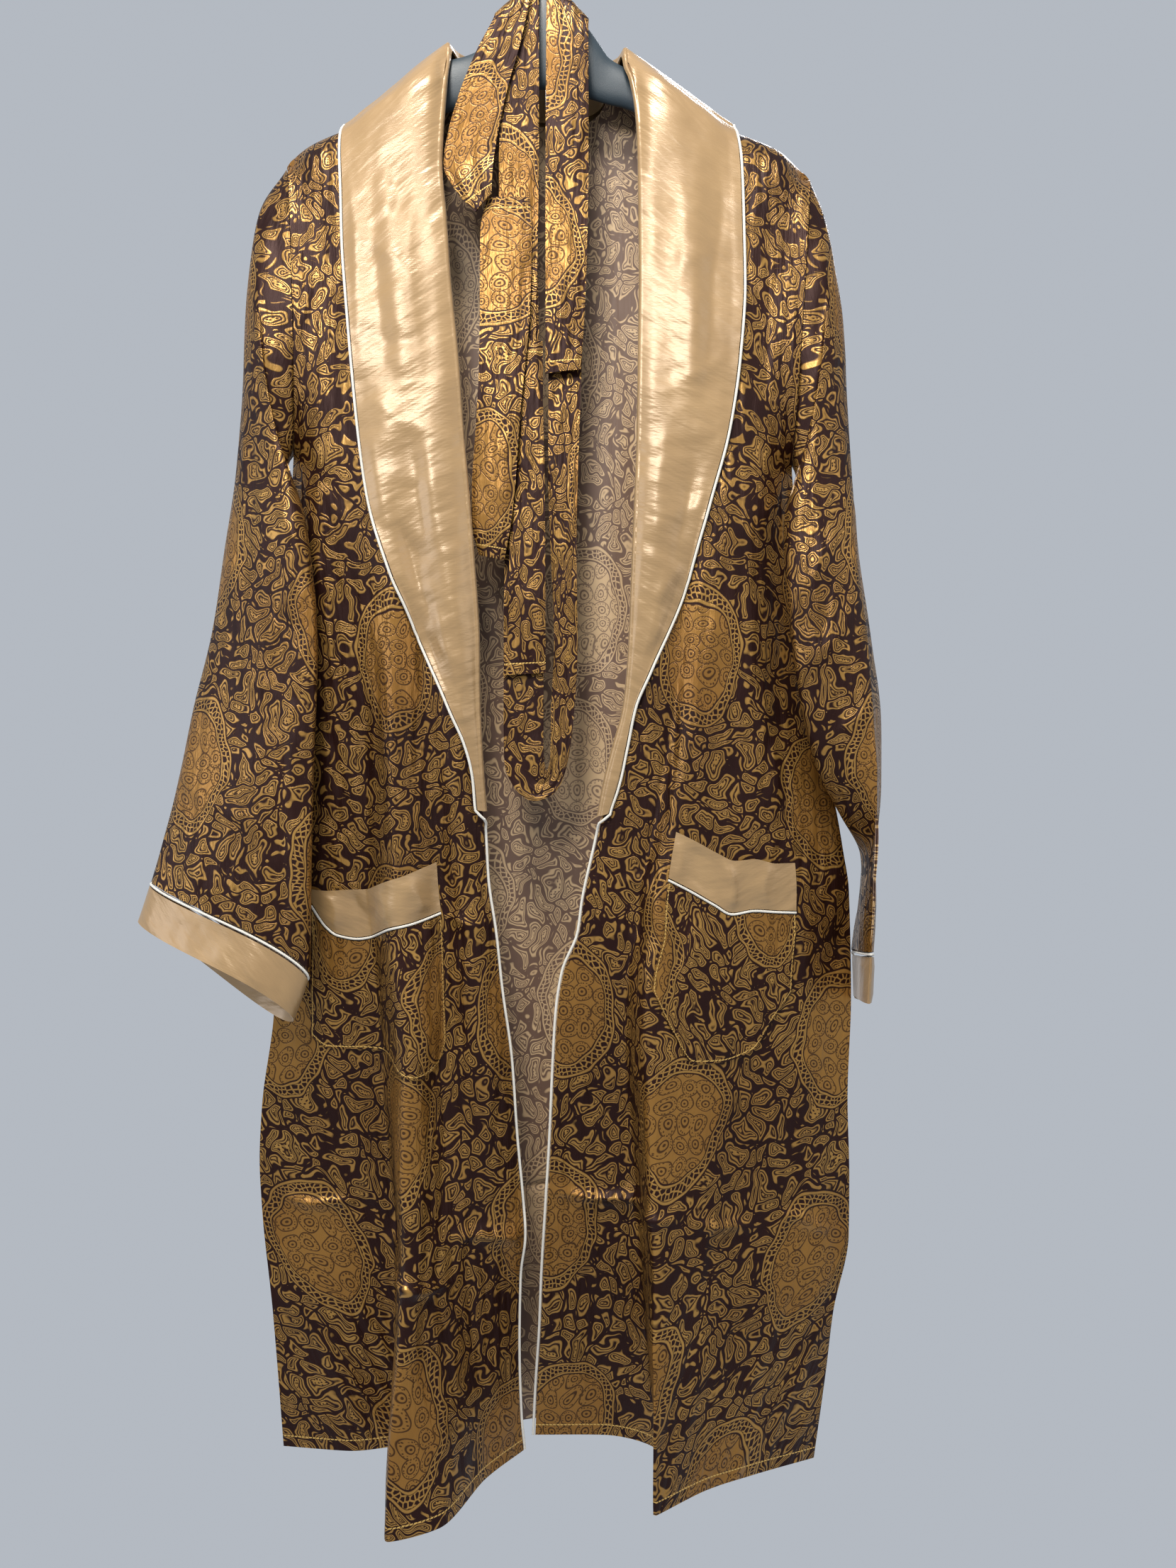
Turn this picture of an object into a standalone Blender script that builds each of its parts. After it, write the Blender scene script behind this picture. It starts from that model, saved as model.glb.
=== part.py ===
"""Satin dressing gown with a shawl collar, hung on a wide plastic hanger, with its belt over the hanger.

Metres, +Z up, the gown faces -Y. The origin is the inside of the crown of the hanger's hook, where a rail
holds it. Right and left are the wearer's, so the right side is at -X. Tables are in millimetres, and "drop"
is the distance below the origin.
"""
import math
from collections import namedtuple

import bmesh
import bpy
import numpy as np
from mathutils import Vector
from mathutils.bvhtree import BVHTree

MM = 0.001

# Cloth walls and the gaps between pieces, millimetres
CLOTH = 1.6
SATIN = 2.0
SEAM_GAP = 0.35
LAY_GAP = 0.6
COLLAR_LIFT = 1.9
PIPING_RADIUS = 1.5

RIGHT, LEFT = -1, 1


# Smooth curves through short tables

def smooth(keys, values, at):
    """Read a table's column at any place, without overshoot between its rows."""
    keys = np.asarray(keys, float)
    values = np.asarray(values, float)
    at = np.clip(np.asarray(at, float), keys[0], keys[-1])
    width = np.diff(keys)
    slope = np.diff(values) / width
    tangent = np.zeros_like(values)
    tangent[0], tangent[-1] = slope[0], slope[-1]
    for i in range(1, len(keys) - 1):
        if slope[i - 1] * slope[i] > 0:
            before = 2 * width[i] + width[i - 1]
            after = width[i] + 2 * width[i - 1]
            tangent[i] = (before + after) / (before / slope[i - 1] + after / slope[i])
    i = np.clip(np.searchsorted(keys, at, side="right") - 1, 0, len(keys) - 2)
    u = (at - keys[i]) / width[i]
    rise = (1 + 2 * u) * (1 - u) ** 2 * values[i] + u * u * (3 - 2 * u) * values[i + 1]
    return rise + width[i] * (u * (1 - u) ** 2 * tangent[i] - u * u * (1 - u) * tangent[i + 1])


def column(table, key, name, at):
    return smooth([getattr(row, key) for row in table], [getattr(row, name) for row in table], at)


# The armholes: an oval seam from the shoulder tip to the armpit, shared by front, back and sleeve

Armhole = namedtuple("Armhole", "tip_x tip_drop pit_x pit_drop inset front_bulge back_bulge")
ARMHOLE = {
    RIGHT: Armhole(223.0, 228.0, 217.0, 474.0, 9.0, 29.0, 31.0),
    LEFT: Armhole(229.8, 239.0, 214.0, 484.8, 3.0, 29.0, 31.0),
}


def armhole_point(side, drop, bulge):
    """Distance from the middle and depth of the armhole's seam at one height."""
    hole = ARMHOLE[side]
    q = min(max((drop - hole.tip_drop) / (hole.pit_drop - hole.tip_drop), 0.0), 1.0)
    swell = 2 * math.sqrt(q * (1 - q))
    x = hole.tip_x + (hole.pit_x - hole.tip_x) * q - hole.inset * swell
    return x, bulge * swell


# The side seams below the armpits: distance from the middle
Side = namedtuple("Side", "drop x")
SIDE_SEAM = {
    RIGHT: [Side(474, 217), Side(600, 222), Side(800, 229), Side(957, 234), Side(1040, 244.5),
            Side(1085, 246.5), Side(1125, 244.5), Side(1217, 235), Side(1335, 225.5)],
    LEFT: [Side(484.8, 214), Side(600, 222), Side(700, 227), Side(757, 233), Side(790, 244), Side(820, 256),
           Side(850, 263.5), Side(944, 265.5), Side(1032, 262.5), Side(1100, 264), Side(1150, 263.5),
           Side(1217, 250), Side(1266, 244), Side(1345, 233)],
}

# The shoulder line, from the neck to the shoulder tip
Shoulder = namedtuple("Shoulder", "x drop")
SHOULDER = {
    RIGHT: [Shoulder(83.6, 131), Shoulder(103, 146.5), Shoulder(134, 171), Shoulder(171, 196),
            Shoulder(195, 206), Shoulder(214, 218), Shoulder(223, 228)],
    LEFT: [Shoulder(70, 137), Shoulder(100, 155.5), Shoulder(130, 176), Shoulder(160, 196),
           Shoulder(179, 204), Shoulder(198, 211.5), Shoulder(222, 231), Shoulder(229.8, 239)],
}

# The fronts' free edge: the collar's roll line down to the break, then the piped edge to the hem
Edge = namedtuple("Edge", "drop x depth")
FRONT_EDGE = {
    RIGHT: [Edge(131, -83.6, 0), Edge(149, -84.6, 13), Edge(203, -88.2, 22), Edge(230, -89.4, 25),
            Edge(279, -86, 28), Edge(341, -80.7, 30), Edge(400, -74.8, 30), Edge(459, -70, 30),
            Edge(578, -61, 28), Edge(640, -57, 27), Edge(697, -56, 26), Edge(760, -53.5, 25),
            Edge(793, -51, 24), Edge(840, -48.6, 22), Edge(887, -42, 21), Edge(934, -37, 20),
            Edge(993, -29, 19), Edge(1058, -24.5, 18), Edge(1118, -19, 18), Edge(1142, -17.3, 21),
            Edge(1178, -21.5, 17), Edge(1238, -22.7, 15), Edge(1299, -21, 14), Edge(1332, -18, 12)],
    LEFT: [Edge(137, 70, 0), Edge(149, 74.6, 12), Edge(177, 80.4, 18), Edge(203, 83.4, 22),
           Edge(248, 84.1, 27), Edge(310, 84.5, 29), Edge(399, 83.8, 30), Edge(464, 82.6, 30),
           Edge(530, 80.3, 30), Edge(596, 77.3, 29), Edge(661, 73.9, 27), Edge(694, 71, 25),
           Edge(732, 62, 23), Edge(760, 54.5, 21), Edge(798, 48, 19), Edge(860, 34.5, 17),
           Edge(887, 30.8, 16), Edge(920, 17.5, 15), Edge(954, 12.1, 14), Edge(994, 9.6, 14),
           Edge(1061, 6.6, 13), Edge(1121, 3, 12), Edge(1180, -0.6, 8), Edge(1228, -2.5, 4),
           Edge(1282, -6, -3), Edge(1328, -8.2, -7)],
}

# Folds of the fronts. A share is a way across from the side seam, 0, to the free edge, 1; a depth is
# towards the viewer. Five landmarks lie at fixed steps across, and their shares and depths change with drop.
FRONT_STEPS = (0.0, 0.20, 0.40, 0.56, 0.70, 0.85, 1.0)
Fold = namedtuple("Fold", "drop s1 d1 s2 d2 s3 d3 s4 d4 s5 d5")
FRONT_FOLDS = {
    # flank, wall behind the fold, crest of the fold, valley, soft ridge
    RIGHT: [Fold(230, .20, 20, .40, 22, .56, 23, .70, 24, .85, 24),
            Fold(400, .20, 27, .40, 33, .56, 31, .70, 33, .85, 30),
            Fold(550, .20, 21, .40, 27, .58, 37, .72, 27, .86, 33),
            Fold(700, .20, 16, .42, 20, .60, 41, .75, 25, .88, 34),
            Fold(850, .20, 12, .44, 16, .61, 47, .79, 24, .90, 33),
            Fold(1000, .20, 8, .47, 8, .62, 62, .76, 32, .88, 36),
            Fold(1150, .22, 5, .50, 2, .61, 86, .74, 54, .88, 34),
            Fold(1335, .27, 4, .47, -8, .53, 120, .71, 107, .86, 48)],
    # flank, slope, crest of the fold, wall behind the fold, flat by the edge
    LEFT: [Fold(230, .20, 20, .40, 22, .56, 23, .70, 24, .85, 24),
           Fold(400, .20, 27, .40, 32, .56, 30, .70, 33, .85, 29),
           Fold(550, .20, 20, .38, 30, .58, 33, .72, 27, .86, 31),
           Fold(700, .20, 17, .38, 31, .64, 36, .76, 25, .88, 27),
           Fold(850, .20, 19, .38, 30, .70, 42, .80, 22, .90, 21),
           Fold(1000, .20, 21, .40, 33, .68, 54, .76, 17, .88, 12),
           Fold(1150, .22, 25, .42, 42, .65, 71, .69, 16, .85, 4),
           Fold(1335, .24, 31, .42, 60, .594, 96, .553, 16, .75, -9)],
}

# How far below the origin the hem hangs, across each front from the side seam to the free edge
FRONT_HEM = {
    RIGHT: (1333, 1335, 1338, 1339, 1337, 1333, 1330),
    LEFT: (1343, 1340, 1336, 1334, 1331, 1328, 1327),
}

# The back, from the right side seam to the left one: its folds stand out behind
BACK_STEPS = (0.0, 0.10, 0.22, 0.36, 0.50, 0.64, 0.78, 0.90, 1.0)
BackFold = namedtuple("BackFold", "drop d1 d2 d3 d4 d5 d6 d7")
BACK_FOLDS = [BackFold(200, 20, 24, 27, 32, 27, 24, 20),
              BackFold(330, 28, 32, 33, 33, 33, 32, 28),
              BackFold(500, 22, 32, 31, 35, 31, 33, 21),
              BackFold(750, 19, 36, 29, 37, 29, 37, 19),
              BackFold(1000, 17, 42, 28, 38, 29, 44, 18),
              BackFold(1340, 14, 54, 27, 41, 28, 57, 15)]
BACK_HEM = 1331

# The back's neck, from the shoulder point to the centre: it stays behind the hanger
Neck = namedtuple("Neck", "x drop depth")
BACK_NECK = [Neck(0, 173.5, 31), Neck(34, 170.5, 29.5), Neck(56, 161, 26), Neck(68, 147, 17), Neck(83.6, 131, 0)]

SHOULDER_ROUND = 36.0


def shoulder_drop(side, x):
    return float(column(SHOULDER[side], "x", "drop", abs(x)))


def rounding(drop_below_seam):
    """How far the cloth has come round the hanger, 0 on the shoulder seam, 1 where it hangs."""
    left_to_go = 1 - min(max(drop_below_seam / SHOULDER_ROUND, 0.0), 1.0)
    return math.sqrt(1 - left_to_go ** 2)


def side_point(side, drop, bulge):
    """Distance from the middle and depth of a panel's outer edge: armhole, then side seam."""
    if drop < ARMHOLE[side].pit_drop:
        return armhole_point(side, drop, bulge)
    return float(column(SIDE_SEAM[side], "drop", "x", drop)), 0.0


def front_row(side, drop, steps):
    """Points of a front at one height, as (x, depth), for steps across from side seam to free edge."""
    side_x, side_depth = side_point(side, drop, ARMHOLE[side].front_bulge)
    edge = FRONT_EDGE[side]
    edge_x = float(column(edge, "drop", "x", drop))
    edge_depth = float(column(edge, "drop", "depth", drop))
    folds = FRONT_FOLDS[side]
    shares = [0.0] + [float(column(folds, "drop", f"s{i}", drop)) for i in range(1, 6)] + [1.0]
    depths = [float(column(folds, "drop", f"d{i}", drop)) for i in range(1, 6)]
    share = smooth(FRONT_STEPS, shares, steps)
    x = side * side_x + (edge_x - side * side_x) * share
    return x, smooth(FRONT_STEPS, [side_depth] + depths + [edge_depth], steps)


def front_point(side, step, fall):
    """A point on the inside of a front: step across, fall from the shoulder seam, 0, to the hem, 1."""
    edge_x = FRONT_EDGE[side][0].x
    tip_x = side * ARMHOLE[side].tip_x
    top = shoulder_drop(side, tip_x + (edge_x - tip_x) * step)
    hem = float(smooth(FRONT_STEPS, FRONT_HEM[side], step))
    drop = top + (hem - top) * fall
    x, depth = front_row(side, drop, np.array([step]))
    x, depth = float(x[0]), float(depth[0])
    if 0 < step < 1:
        depth *= rounding(drop - shoulder_drop(side, x))
    return x, -depth - SEAM_GAP / 2, -drop


def front_depth(side, x, drop):
    """How far a front's inside stands towards the viewer at a place on it."""
    steps = np.linspace(0, 1, 81)
    row_x, row_depth = front_row(side, drop, steps)
    order = np.argsort(row_x)
    depth = float(np.interp(x, row_x[order], row_depth[order]))
    return depth * rounding(drop - shoulder_drop(side, x)) + SEAM_GAP / 2


def back_top(x):
    """Drop and depth of the back's top edge: shoulder seam, neck, shoulder seam."""
    side = RIGHT if x < 0 else LEFT
    neck_end = SHOULDER[side][0].x
    if abs(x) >= neck_end:
        return shoulder_drop(side, x), 0.0
    reach = abs(x) / neck_end * BACK_NECK[-1].x
    fit = SHOULDER[side][0].drop / BACK_NECK[-1].drop
    blend = abs(x) / neck_end
    drop = float(column(BACK_NECK, "x", "drop", reach)) * (1 + (fit - 1) * blend)
    return drop, float(column(BACK_NECK, "x", "depth", reach))


def back_row(drop, steps):
    right_x, right_depth = side_point(RIGHT, drop, ARMHOLE[RIGHT].back_bulge)
    left_x, left_depth = side_point(LEFT, drop, ARMHOLE[LEFT].back_bulge)
    depths = [float(column(BACK_FOLDS, "drop", f"d{i}", drop)) for i in range(1, 8)]
    x = -right_x + (left_x + right_x) * np.asarray(steps)
    return x, smooth(BACK_STEPS, [right_depth] + depths + [left_depth], steps)


def back_point(step, fall):
    """A point on the inside of the back: step from the right side to the left, fall from top to hem."""
    tip_x = -ARMHOLE[RIGHT].tip_x + (ARMHOLE[RIGHT].tip_x + ARMHOLE[LEFT].tip_x) * step
    top, top_depth = back_top(tip_x)
    hem = BACK_HEM
    if step < 0.1:
        hem = FRONT_HEM[RIGHT][0] + (BACK_HEM - FRONT_HEM[RIGHT][0]) * step / 0.1
    if step > 0.9:
        hem = FRONT_HEM[LEFT][0] + (BACK_HEM - FRONT_HEM[LEFT][0]) * (1 - step) / 0.1
    drop = top + (hem - top) * fall
    x, depth = back_row(drop, np.array([step]))
    x, depth = float(x[0]), float(depth[0])
    if 0 < step < 1:
        below = max(drop - top, 0.0)
        depth = top_depth + (depth - top_depth) * rounding(below)
    return x, depth + SEAM_GAP / 2, -drop


def back_depth(x, drop):
    steps = np.linspace(0, 1, 81)
    row_x, row_depth = back_row(drop, steps)
    top, top_depth = back_top(x)
    depth = float(np.interp(x, row_x, row_depth))
    return top_depth + (depth - top_depth) * rounding(drop - top) + SEAM_GAP / 2


# Solids

def material(name, colour, roughness, metallic=0.0):
    found = bpy.data.materials.get(name)
    if found:
        return found
    made = bpy.data.materials.new(name)
    made.use_nodes = True
    shader = made.node_tree.nodes["Principled BSDF"]
    shader.inputs["Base Color"].default_value = (*colour, 1)
    shader.inputs["Roughness"].default_value = roughness
    shader.inputs["Metallic"].default_value = metallic
    return made


def brocade():
    return material("brocade_satin", (0.16, 0.075, 0.025), 0.4)


def plain_satin():
    return material("gold_satin", (0.56, 0.39, 0.19), 0.3)


def piping_cotton():
    return material("white_piping", (0.87, 0.86, 0.82), 0.7)


def finish(name, bm, finish_material):
    bmesh.ops.recalc_face_normals(bm, faces=bm.faces)
    mesh = bpy.data.meshes.new(name)
    bm.to_mesh(mesh)
    bm.free()
    mesh.shade_smooth()
    mesh.set_sharp_from_angle(angle=math.radians(50))
    mesh.materials.append(finish_material)
    made = bpy.data.objects.new(name, mesh)
    bpy.context.scene.collection.objects.link(made)
    return made


def grid_normals(grid, closed):
    """Unit normals of a grid of points, rows by columns; closed joins the last column to the first."""
    down = np.gradient(grid, axis=0)
    if closed:
        across = (np.roll(grid, -1, axis=1) - np.roll(grid, 1, axis=1)) / 2
    else:
        across = np.gradient(grid, axis=1)
    normal = np.cross(down, across)
    return normal / np.linalg.norm(normal, axis=2, keepdims=True)


OUTER_FACE = {}


def wall(name, grid, thickness, finish_material, closed=False, flip=False, square=()):
    """A cloth wall: the grid is its inner face, and the outer face is moved out along the normals.

    At a square edge, a seam with another piece, the normals have no part along the x axis.
    """
    grid = np.asarray(grid, float)
    rows, columns = grid.shape[:2]
    normal = grid_normals(grid, closed) * (-1 if flip else 1)
    for edge in square:
        at_edge = {"first row": np.s_[0, :], "last row": np.s_[-1, :],
                   "first column": np.s_[:, 0], "last column": np.s_[:, -1]}[edge]
        normal[at_edge][:, 0] = 0
        normal[at_edge] /= np.linalg.norm(normal[at_edge], axis=1, keepdims=True)
    outer = grid + normal * thickness
    if not closed:
        quads = [(i * columns + j, (i + 1) * columns + j, (i + 1) * columns + j + 1, i * columns + j + 1)
                 for i in range(rows - 1) for j in range(columns - 1)]
        if flip:
            quads = [quad[::-1] for quad in quads]
        OUTER_FACE[name] = BVHTree.FromPolygons([Vector(p) for p in outer.reshape(-1, 3)], quads)
    grid, outer = grid * MM, outer * MM
    bm = bmesh.new()
    inside = [[bm.verts.new(grid[i, j]) for j in range(columns)] for i in range(rows)]
    outside = [[bm.verts.new(outer[i, j]) for j in range(columns)] for i in range(rows)]
    last = columns if closed else columns - 1
    for j in range(last):
        k = (j + 1) % columns
        for i in range(rows - 1):
            bm.faces.new((inside[i][j], inside[i + 1][j], inside[i + 1][k], inside[i][k]))
            bm.faces.new((outside[i][j], outside[i][k], outside[i + 1][k], outside[i + 1][j]))
        bm.faces.new((inside[0][j], inside[0][k], outside[0][k], outside[0][j]))
        bm.faces.new((inside[-1][j], outside[-1][j], outside[-1][k], inside[-1][k]))
    if not closed:
        for i in range(rows - 1):
            bm.faces.new((inside[i][0], outside[i][0], outside[i + 1][0], inside[i + 1][0]))
            bm.faces.new((inside[i][-1], inside[i + 1][-1], outside[i + 1][-1], outside[i][-1]))
    return finish(name, bm, finish_material)


def cell_places():
    """Weights of a cell's four corners at places spread over it and along both diagonals."""
    shares = np.linspace(0, 1, 7)
    places = [((1 - u) * (1 - v), u * (1 - v), (1 - u) * v, u * v) for u in shares for v in shares]
    places += [(1 - t, 0, 0, t) for t in shares] + [(0, 1 - t, t, 0) for t in shares]
    return places


def keep_clear(points, below, gap, first_column=0):
    """Move a laid grid's points, or a path's, off the outer faces below until every cell is clear by the gap."""
    grid = np.array(points, float)
    path = grid.ndim == 2
    if path:
        grid = grid[:, None]
    rows, columns = grid.shape[:2]
    places = [(1 - t, t) for t in np.linspace(0, 1, 7)] if path else cell_places()
    for _ in range(8):
        push = np.zeros_like(grid)
        for i in range(rows - 1):
            for j in range(first_column, max(columns - 1, 1)):
                corners = [(i, j), (i + 1, j)] if path else [(i, j), (i + 1, j), (i, j + 1), (i + 1, j + 1)]
                for weights in places:
                    place = Vector(sum(w * grid[c] for w, c in zip(weights, corners)))
                    for name in below:
                        if (name == "back") != (place.y > 0):
                            continue
                        near, normal, _, distance = OUTER_FACE[name].find_nearest(place, 15)
                        if near is None:
                            continue
                        height = (place - near).dot(normal)
                        away, short = normal, gap - height
                        if height > 0:
                            away, short = (place - near) / distance, gap - distance
                        if short < 0.02 or (height < 0 and -height < 0.7 * distance):
                            continue
                        for w, c in zip(weights, corners):
                            if w > 0.1 and short > np.linalg.norm(push[c]):
                                push[c] = np.array(away) * short
        grid += push
        if not push.any():
            break
    return grid[:, 0] if path else grid


def tube(name, points, radius, finish_material, sides=6, ring=False):
    """A round cord along points in millimetres, with flat ends, or closed into a ring."""
    points = np.asarray(points, float) * MM
    if ring:
        along = np.roll(points, -1, axis=0) - np.roll(points, 1, axis=0)
    else:
        along = np.gradient(points, axis=0)
    along /= np.linalg.norm(along, axis=1, keepdims=True)
    guide = np.cross(along[0], (0.3, 0.9, 0.2))
    bm = bmesh.new()
    rings = []
    for point, direction in zip(points, along):
        guide = guide - direction * guide.dot(direction)
        guide /= np.linalg.norm(guide)
        third = np.cross(direction, guide)
        turns = [2 * math.pi * k / sides for k in range(sides)]
        rings.append([bm.verts.new(point + radius * MM * (math.cos(a) * guide + math.sin(a) * third))
                      for a in turns])
    pairs = list(zip(rings, rings[1:]))
    if ring:
        pairs.append((rings[-1], rings[0]))
    for first, second in pairs:
        for k in range(sides):
            m = (k + 1) % sides
            bm.faces.new((first[k], first[m], second[m], second[k]))
    if not ring:
        bm.faces.new(rings[0])
        bm.faces.new(rings[-1])
    return finish(name, bm, finish_material)


# Fronts and back

FRONT_COLUMNS = 19
# Where the back's columns start on its top edge: close together round the neck
BACK_COLUMNS = (-223, -207, -185, -160, -134, -108, -83.6, -76, -67, -56, -38, -19, 0, 18, 34, 47, 56, 63, 70,
                92, 117, 143, 170, 195, 215, 229.8)
# Rows from the shoulder tip to the armpit, close together where the cloth rounds the hanger and the armpit
ARMHOLE_ROWS = (0, 5, 14, 32, 62, 100, 140, 176, 206, 225, 236, 243, 246)
ROWS_BELOW_ARMPIT = 17


def panel_falls():
    """Falls from 0 to 1, the same on every panel, so that their side seams meet."""
    hole = ARMHOLE[RIGHT]
    length = FRONT_HEM[RIGHT][0] - hole.tip_drop
    falls = [row / length for row in ARMHOLE_ROWS]
    return falls + list(np.linspace(falls[-1], 1, ROWS_BELOW_ARMPIT + 1)[1:])


def front_grid(side):
    steps = np.linspace(0, 1, FRONT_COLUMNS)
    return np.array([[front_point(side, s, f) for s in steps] for f in panel_falls()])


def build_fronts():
    for side, name in ((RIGHT, "right_front"), (LEFT, "left_front")):
        wall(name, front_grid(side), CLOTH, brocade(), flip=side == LEFT, square=["first column"])


def build_back():
    span = ARMHOLE[RIGHT].tip_x + ARMHOLE[LEFT].tip_x
    steps = [(x + ARMHOLE[RIGHT].tip_x) / span for x in BACK_COLUMNS]
    grid = [[back_point(s, f) for s in steps] for f in panel_falls()]
    wall("back", grid, CLOTH, brocade(), flip=True, square=["first column", "last column"])


# Sleeves: flat rings from the armhole to the cuff. Each has an outer and an inner fold, and a front and a
# back that swell away from the straight line between them.

Ring = namedtuple("Ring", "ox oy od ix iy idr fx fy bx by")
SLEEVE_RINGS = {
    RIGHT: [Ring(242, 0, 259, 219.5, -11, 490, 6, -27, 12, 21),
            Ring(252, 0, 308, 208, -23, 512, 4, -26, 11, 15),
            Ring(257, 0, 357, 199, -30, 540, 2, -24, 5, 12),
            Ring(260.5, 0, 425, 192.5, -36, 579, 0, -22, 3, 11),
            Ring(267, 0, 490, 187.5, -42, 621, 0, -21, 0, 10),
            Ring(278, 0, 558, 186, -45, 663, 0, -20, 0, 11),
            Ring(288, 0, 627, 187, -47, 710, 0, -20, 0, 12),
            Ring(302, -5, 695, 188, -50, 762, 0, -20, 0, 13),
            Ring(315, -10, 763, 189, -52, 820, 0, -21, 0, 14),
            Ring(327.6, -15, 817, 189.5, -54, 878, 0, -22, 0, 15),
            Ring(333, -20, 842, 190, -55, 916, 0, -22, 0, 16)],
    LEFT: [Ring(240, 0, 265, 216.5, -11, 500, 6, -27, 12, 21),
           Ring(248.5, -5, 310, 207, -23, 520, 4, -26, 11, 15),
           Ring(256, -8, 361, 202, -30, 540, 2, -24, 6, 13),
           Ring(259, -12, 430, 201.5, -36, 579, 0, -22, 5, 14),
           Ring(262, -20, 495, 204, -42, 621, 0, -20, 8, 20),
           Ring(265.5, -30, 564, 209, -44, 663, 0, -18, 14, 28),
           Ring(270.5, -40, 632, 216.5, -42, 706, 0, -16, 24, 40),
           Ring(272.5, -50, 698, 229, -36, 748, 0, -14, 34, 58),
           Ring(275, -56, 757, 250, -27, 786, 0, -10, 30, 80),
           Ring(273.5, -59, 812, 272, -6, 820, 0, 0, 20, 78),
           Ring(272, -60, 838, 281, 30, 850, -3, 1, 14, 45),
           Ring(271, -61, 862, 286, 62, 880, -5, 2, 8, 12),
           Ring(268.5, -61, 897, 286.5, 84, 917, -6, 0, 8, 4)],
}
RING_POINTS = 20
ARMHOLE_GAP = 0.9


def ring_points(ring, side, lift=0.0):
    points = []
    for k in range(RING_POINTS):
        angle = 2 * math.pi * k / RING_POINTS
        share = (1 - math.cos(angle)) / 2
        swell = math.sin(angle)
        bulge = (ring.fx, ring.fy) if swell > 0 else (ring.bx, ring.by)
        swell = abs(swell)
        x = ring.ox + (ring.ix - ring.ox) * share + bulge[0] * swell
        y = ring.oy + (ring.iy - ring.oy) * share + bulge[1] * swell
        drop = ring.od + (ring.idr - ring.od) * share
        drop -= lift * (math.sin(angle) - 0.5 * math.sin(2 * angle))
        points.append((side * x, y, -drop))
    return points


def armhole_ring(side):
    """The sleeve's first ring lies just outside the armhole's seam."""
    hole = ARMHOLE[side]
    points = []
    for k in range(RING_POINTS):
        angle = 2 * math.pi * k / RING_POINTS
        share = (1 - math.cos(angle)) / 2
        drop = hole.tip_drop + (hole.pit_drop - hole.tip_drop) * share
        bulge = hole.front_bulge if math.sin(angle) > 0 else hole.back_bulge
        x, depth = armhole_point(side, drop, bulge)
        y = -depth if math.sin(angle) > 0 else depth
        points.append((side * (x + ARMHOLE_GAP), y, -drop))
    return points


CUFF_LIFT = {RIGHT: 9.0, LEFT: 2.0}
CUFF_PIPING_RADIUS = 1.2


def build_sleeves():
    for side, name in ((RIGHT, "right_sleeve"), (LEFT, "left_sleeve")):
        rings = SLEEVE_RINGS[side]
        grid = [armhole_ring(side)]
        for i, ring in enumerate(rings):
            lift = CUFF_LIFT[side] * max(0.0, (i - len(rings) + 4) / 3)
            grid.append(ring_points(ring, side, lift))
        wall(name, grid, CLOTH, brocade(), closed=True, flip=side == RIGHT, square=["first row"])


# Cuffs: a satin band past the sleeve's end, with piping in the seam

CUFF_RINGS = {
    RIGHT: [Ring(334.6, -20.3, 846.1, 191.6, -55.2, 920.9, 0, -22.2, 0, 16.3),
            Ring(339, -21, 861, 196.5, -56, 936, 0, -24, 0, 17),
            Ring(343.5, -22, 875.5, 203, -57, 952.5, 0, -26, 0, 18)],
    LEFT: [Ring(268.8, -61, 901.3, 287, 84.4, 923.6, -5, 0, 8, 4),
           Ring(267.5, -61.5, 920, 288, 88, 941, -4, 0, 8, 5),
           Ring(266.5, -62, 939, 289, 90, 961, -4, 0, 8, 6)],
}


def build_cuffs():
    for side, name in ((RIGHT, "right_cuff"), (LEFT, "left_cuff")):
        grid = [ring_points(ring, side, CUFF_LIFT[side]) for ring in CUFF_RINGS[side]]
        wall(name, grid, SATIN, plain_satin(), closed=True, flip=side == RIGHT)
        sleeve_end = ring_points(SLEEVE_RINGS[side][-1], side, CUFF_LIFT[side])
        seam = np.array([sleeve_end, grid[0]])
        out = grid_normals(seam, True)[0] * (-1 if side == RIGHT else 1)
        piping = seam.mean(axis=0) + out * CLOTH / 2
        tube(name + "_piping", piping, CUFF_PIPING_RADIUS, piping_cotton(), ring=True)


# The shawl collar: sections from its stand, over the roll line, to the piped outer edge

Section = namedtuple("Section", "stand_x stand_y stand_d roll_x roll_y roll_d out_x out_y out_d")
COLLAR_FRONT = {
    # roll line and outer edge, from the break of the lapel up to the shoulder
    RIGHT: [(51.6, 783, 55.6, 782), (53.7, 757, 58.5, 755), (55.2, 727, 66, 724), (56.2, 697, 77.5, 695),
            (57, 640, 103.6, 637), (61, 578, 127.8, 578), (65.3, 519, 145, 519), (70, 459, 153.2, 461),
            (74.8, 400, 158.5, 405), (80.7, 341, 163.2, 352), (86, 279, 167, 306), (89.4, 236, 168.8, 262),
            (88.4, 205, 170.3, 227), (86, 165, 170.8, 205), (84.3, 140, 170.6, 197.6)],
    LEFT: [(49.4, 787, 55, 785), (51.8, 774, 59.3, 772), (55.5, 757, 64, 756), (62, 732, 69, 731),
           (71, 694, 77, 694), (74, 661, 89.5, 664), (77.3, 596, 117, 600), (80, 530, 139, 522),
           (82.6, 464, 155, 461), (83.8, 399, 163.5, 402), (84.4, 330, 167.6, 340), (84.3, 270, 167, 284),
           (82.5, 205, 165.4, 233), (77, 160, 162.5, 205), (72.5, 145, 161.5, 197.6)],
}
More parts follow.
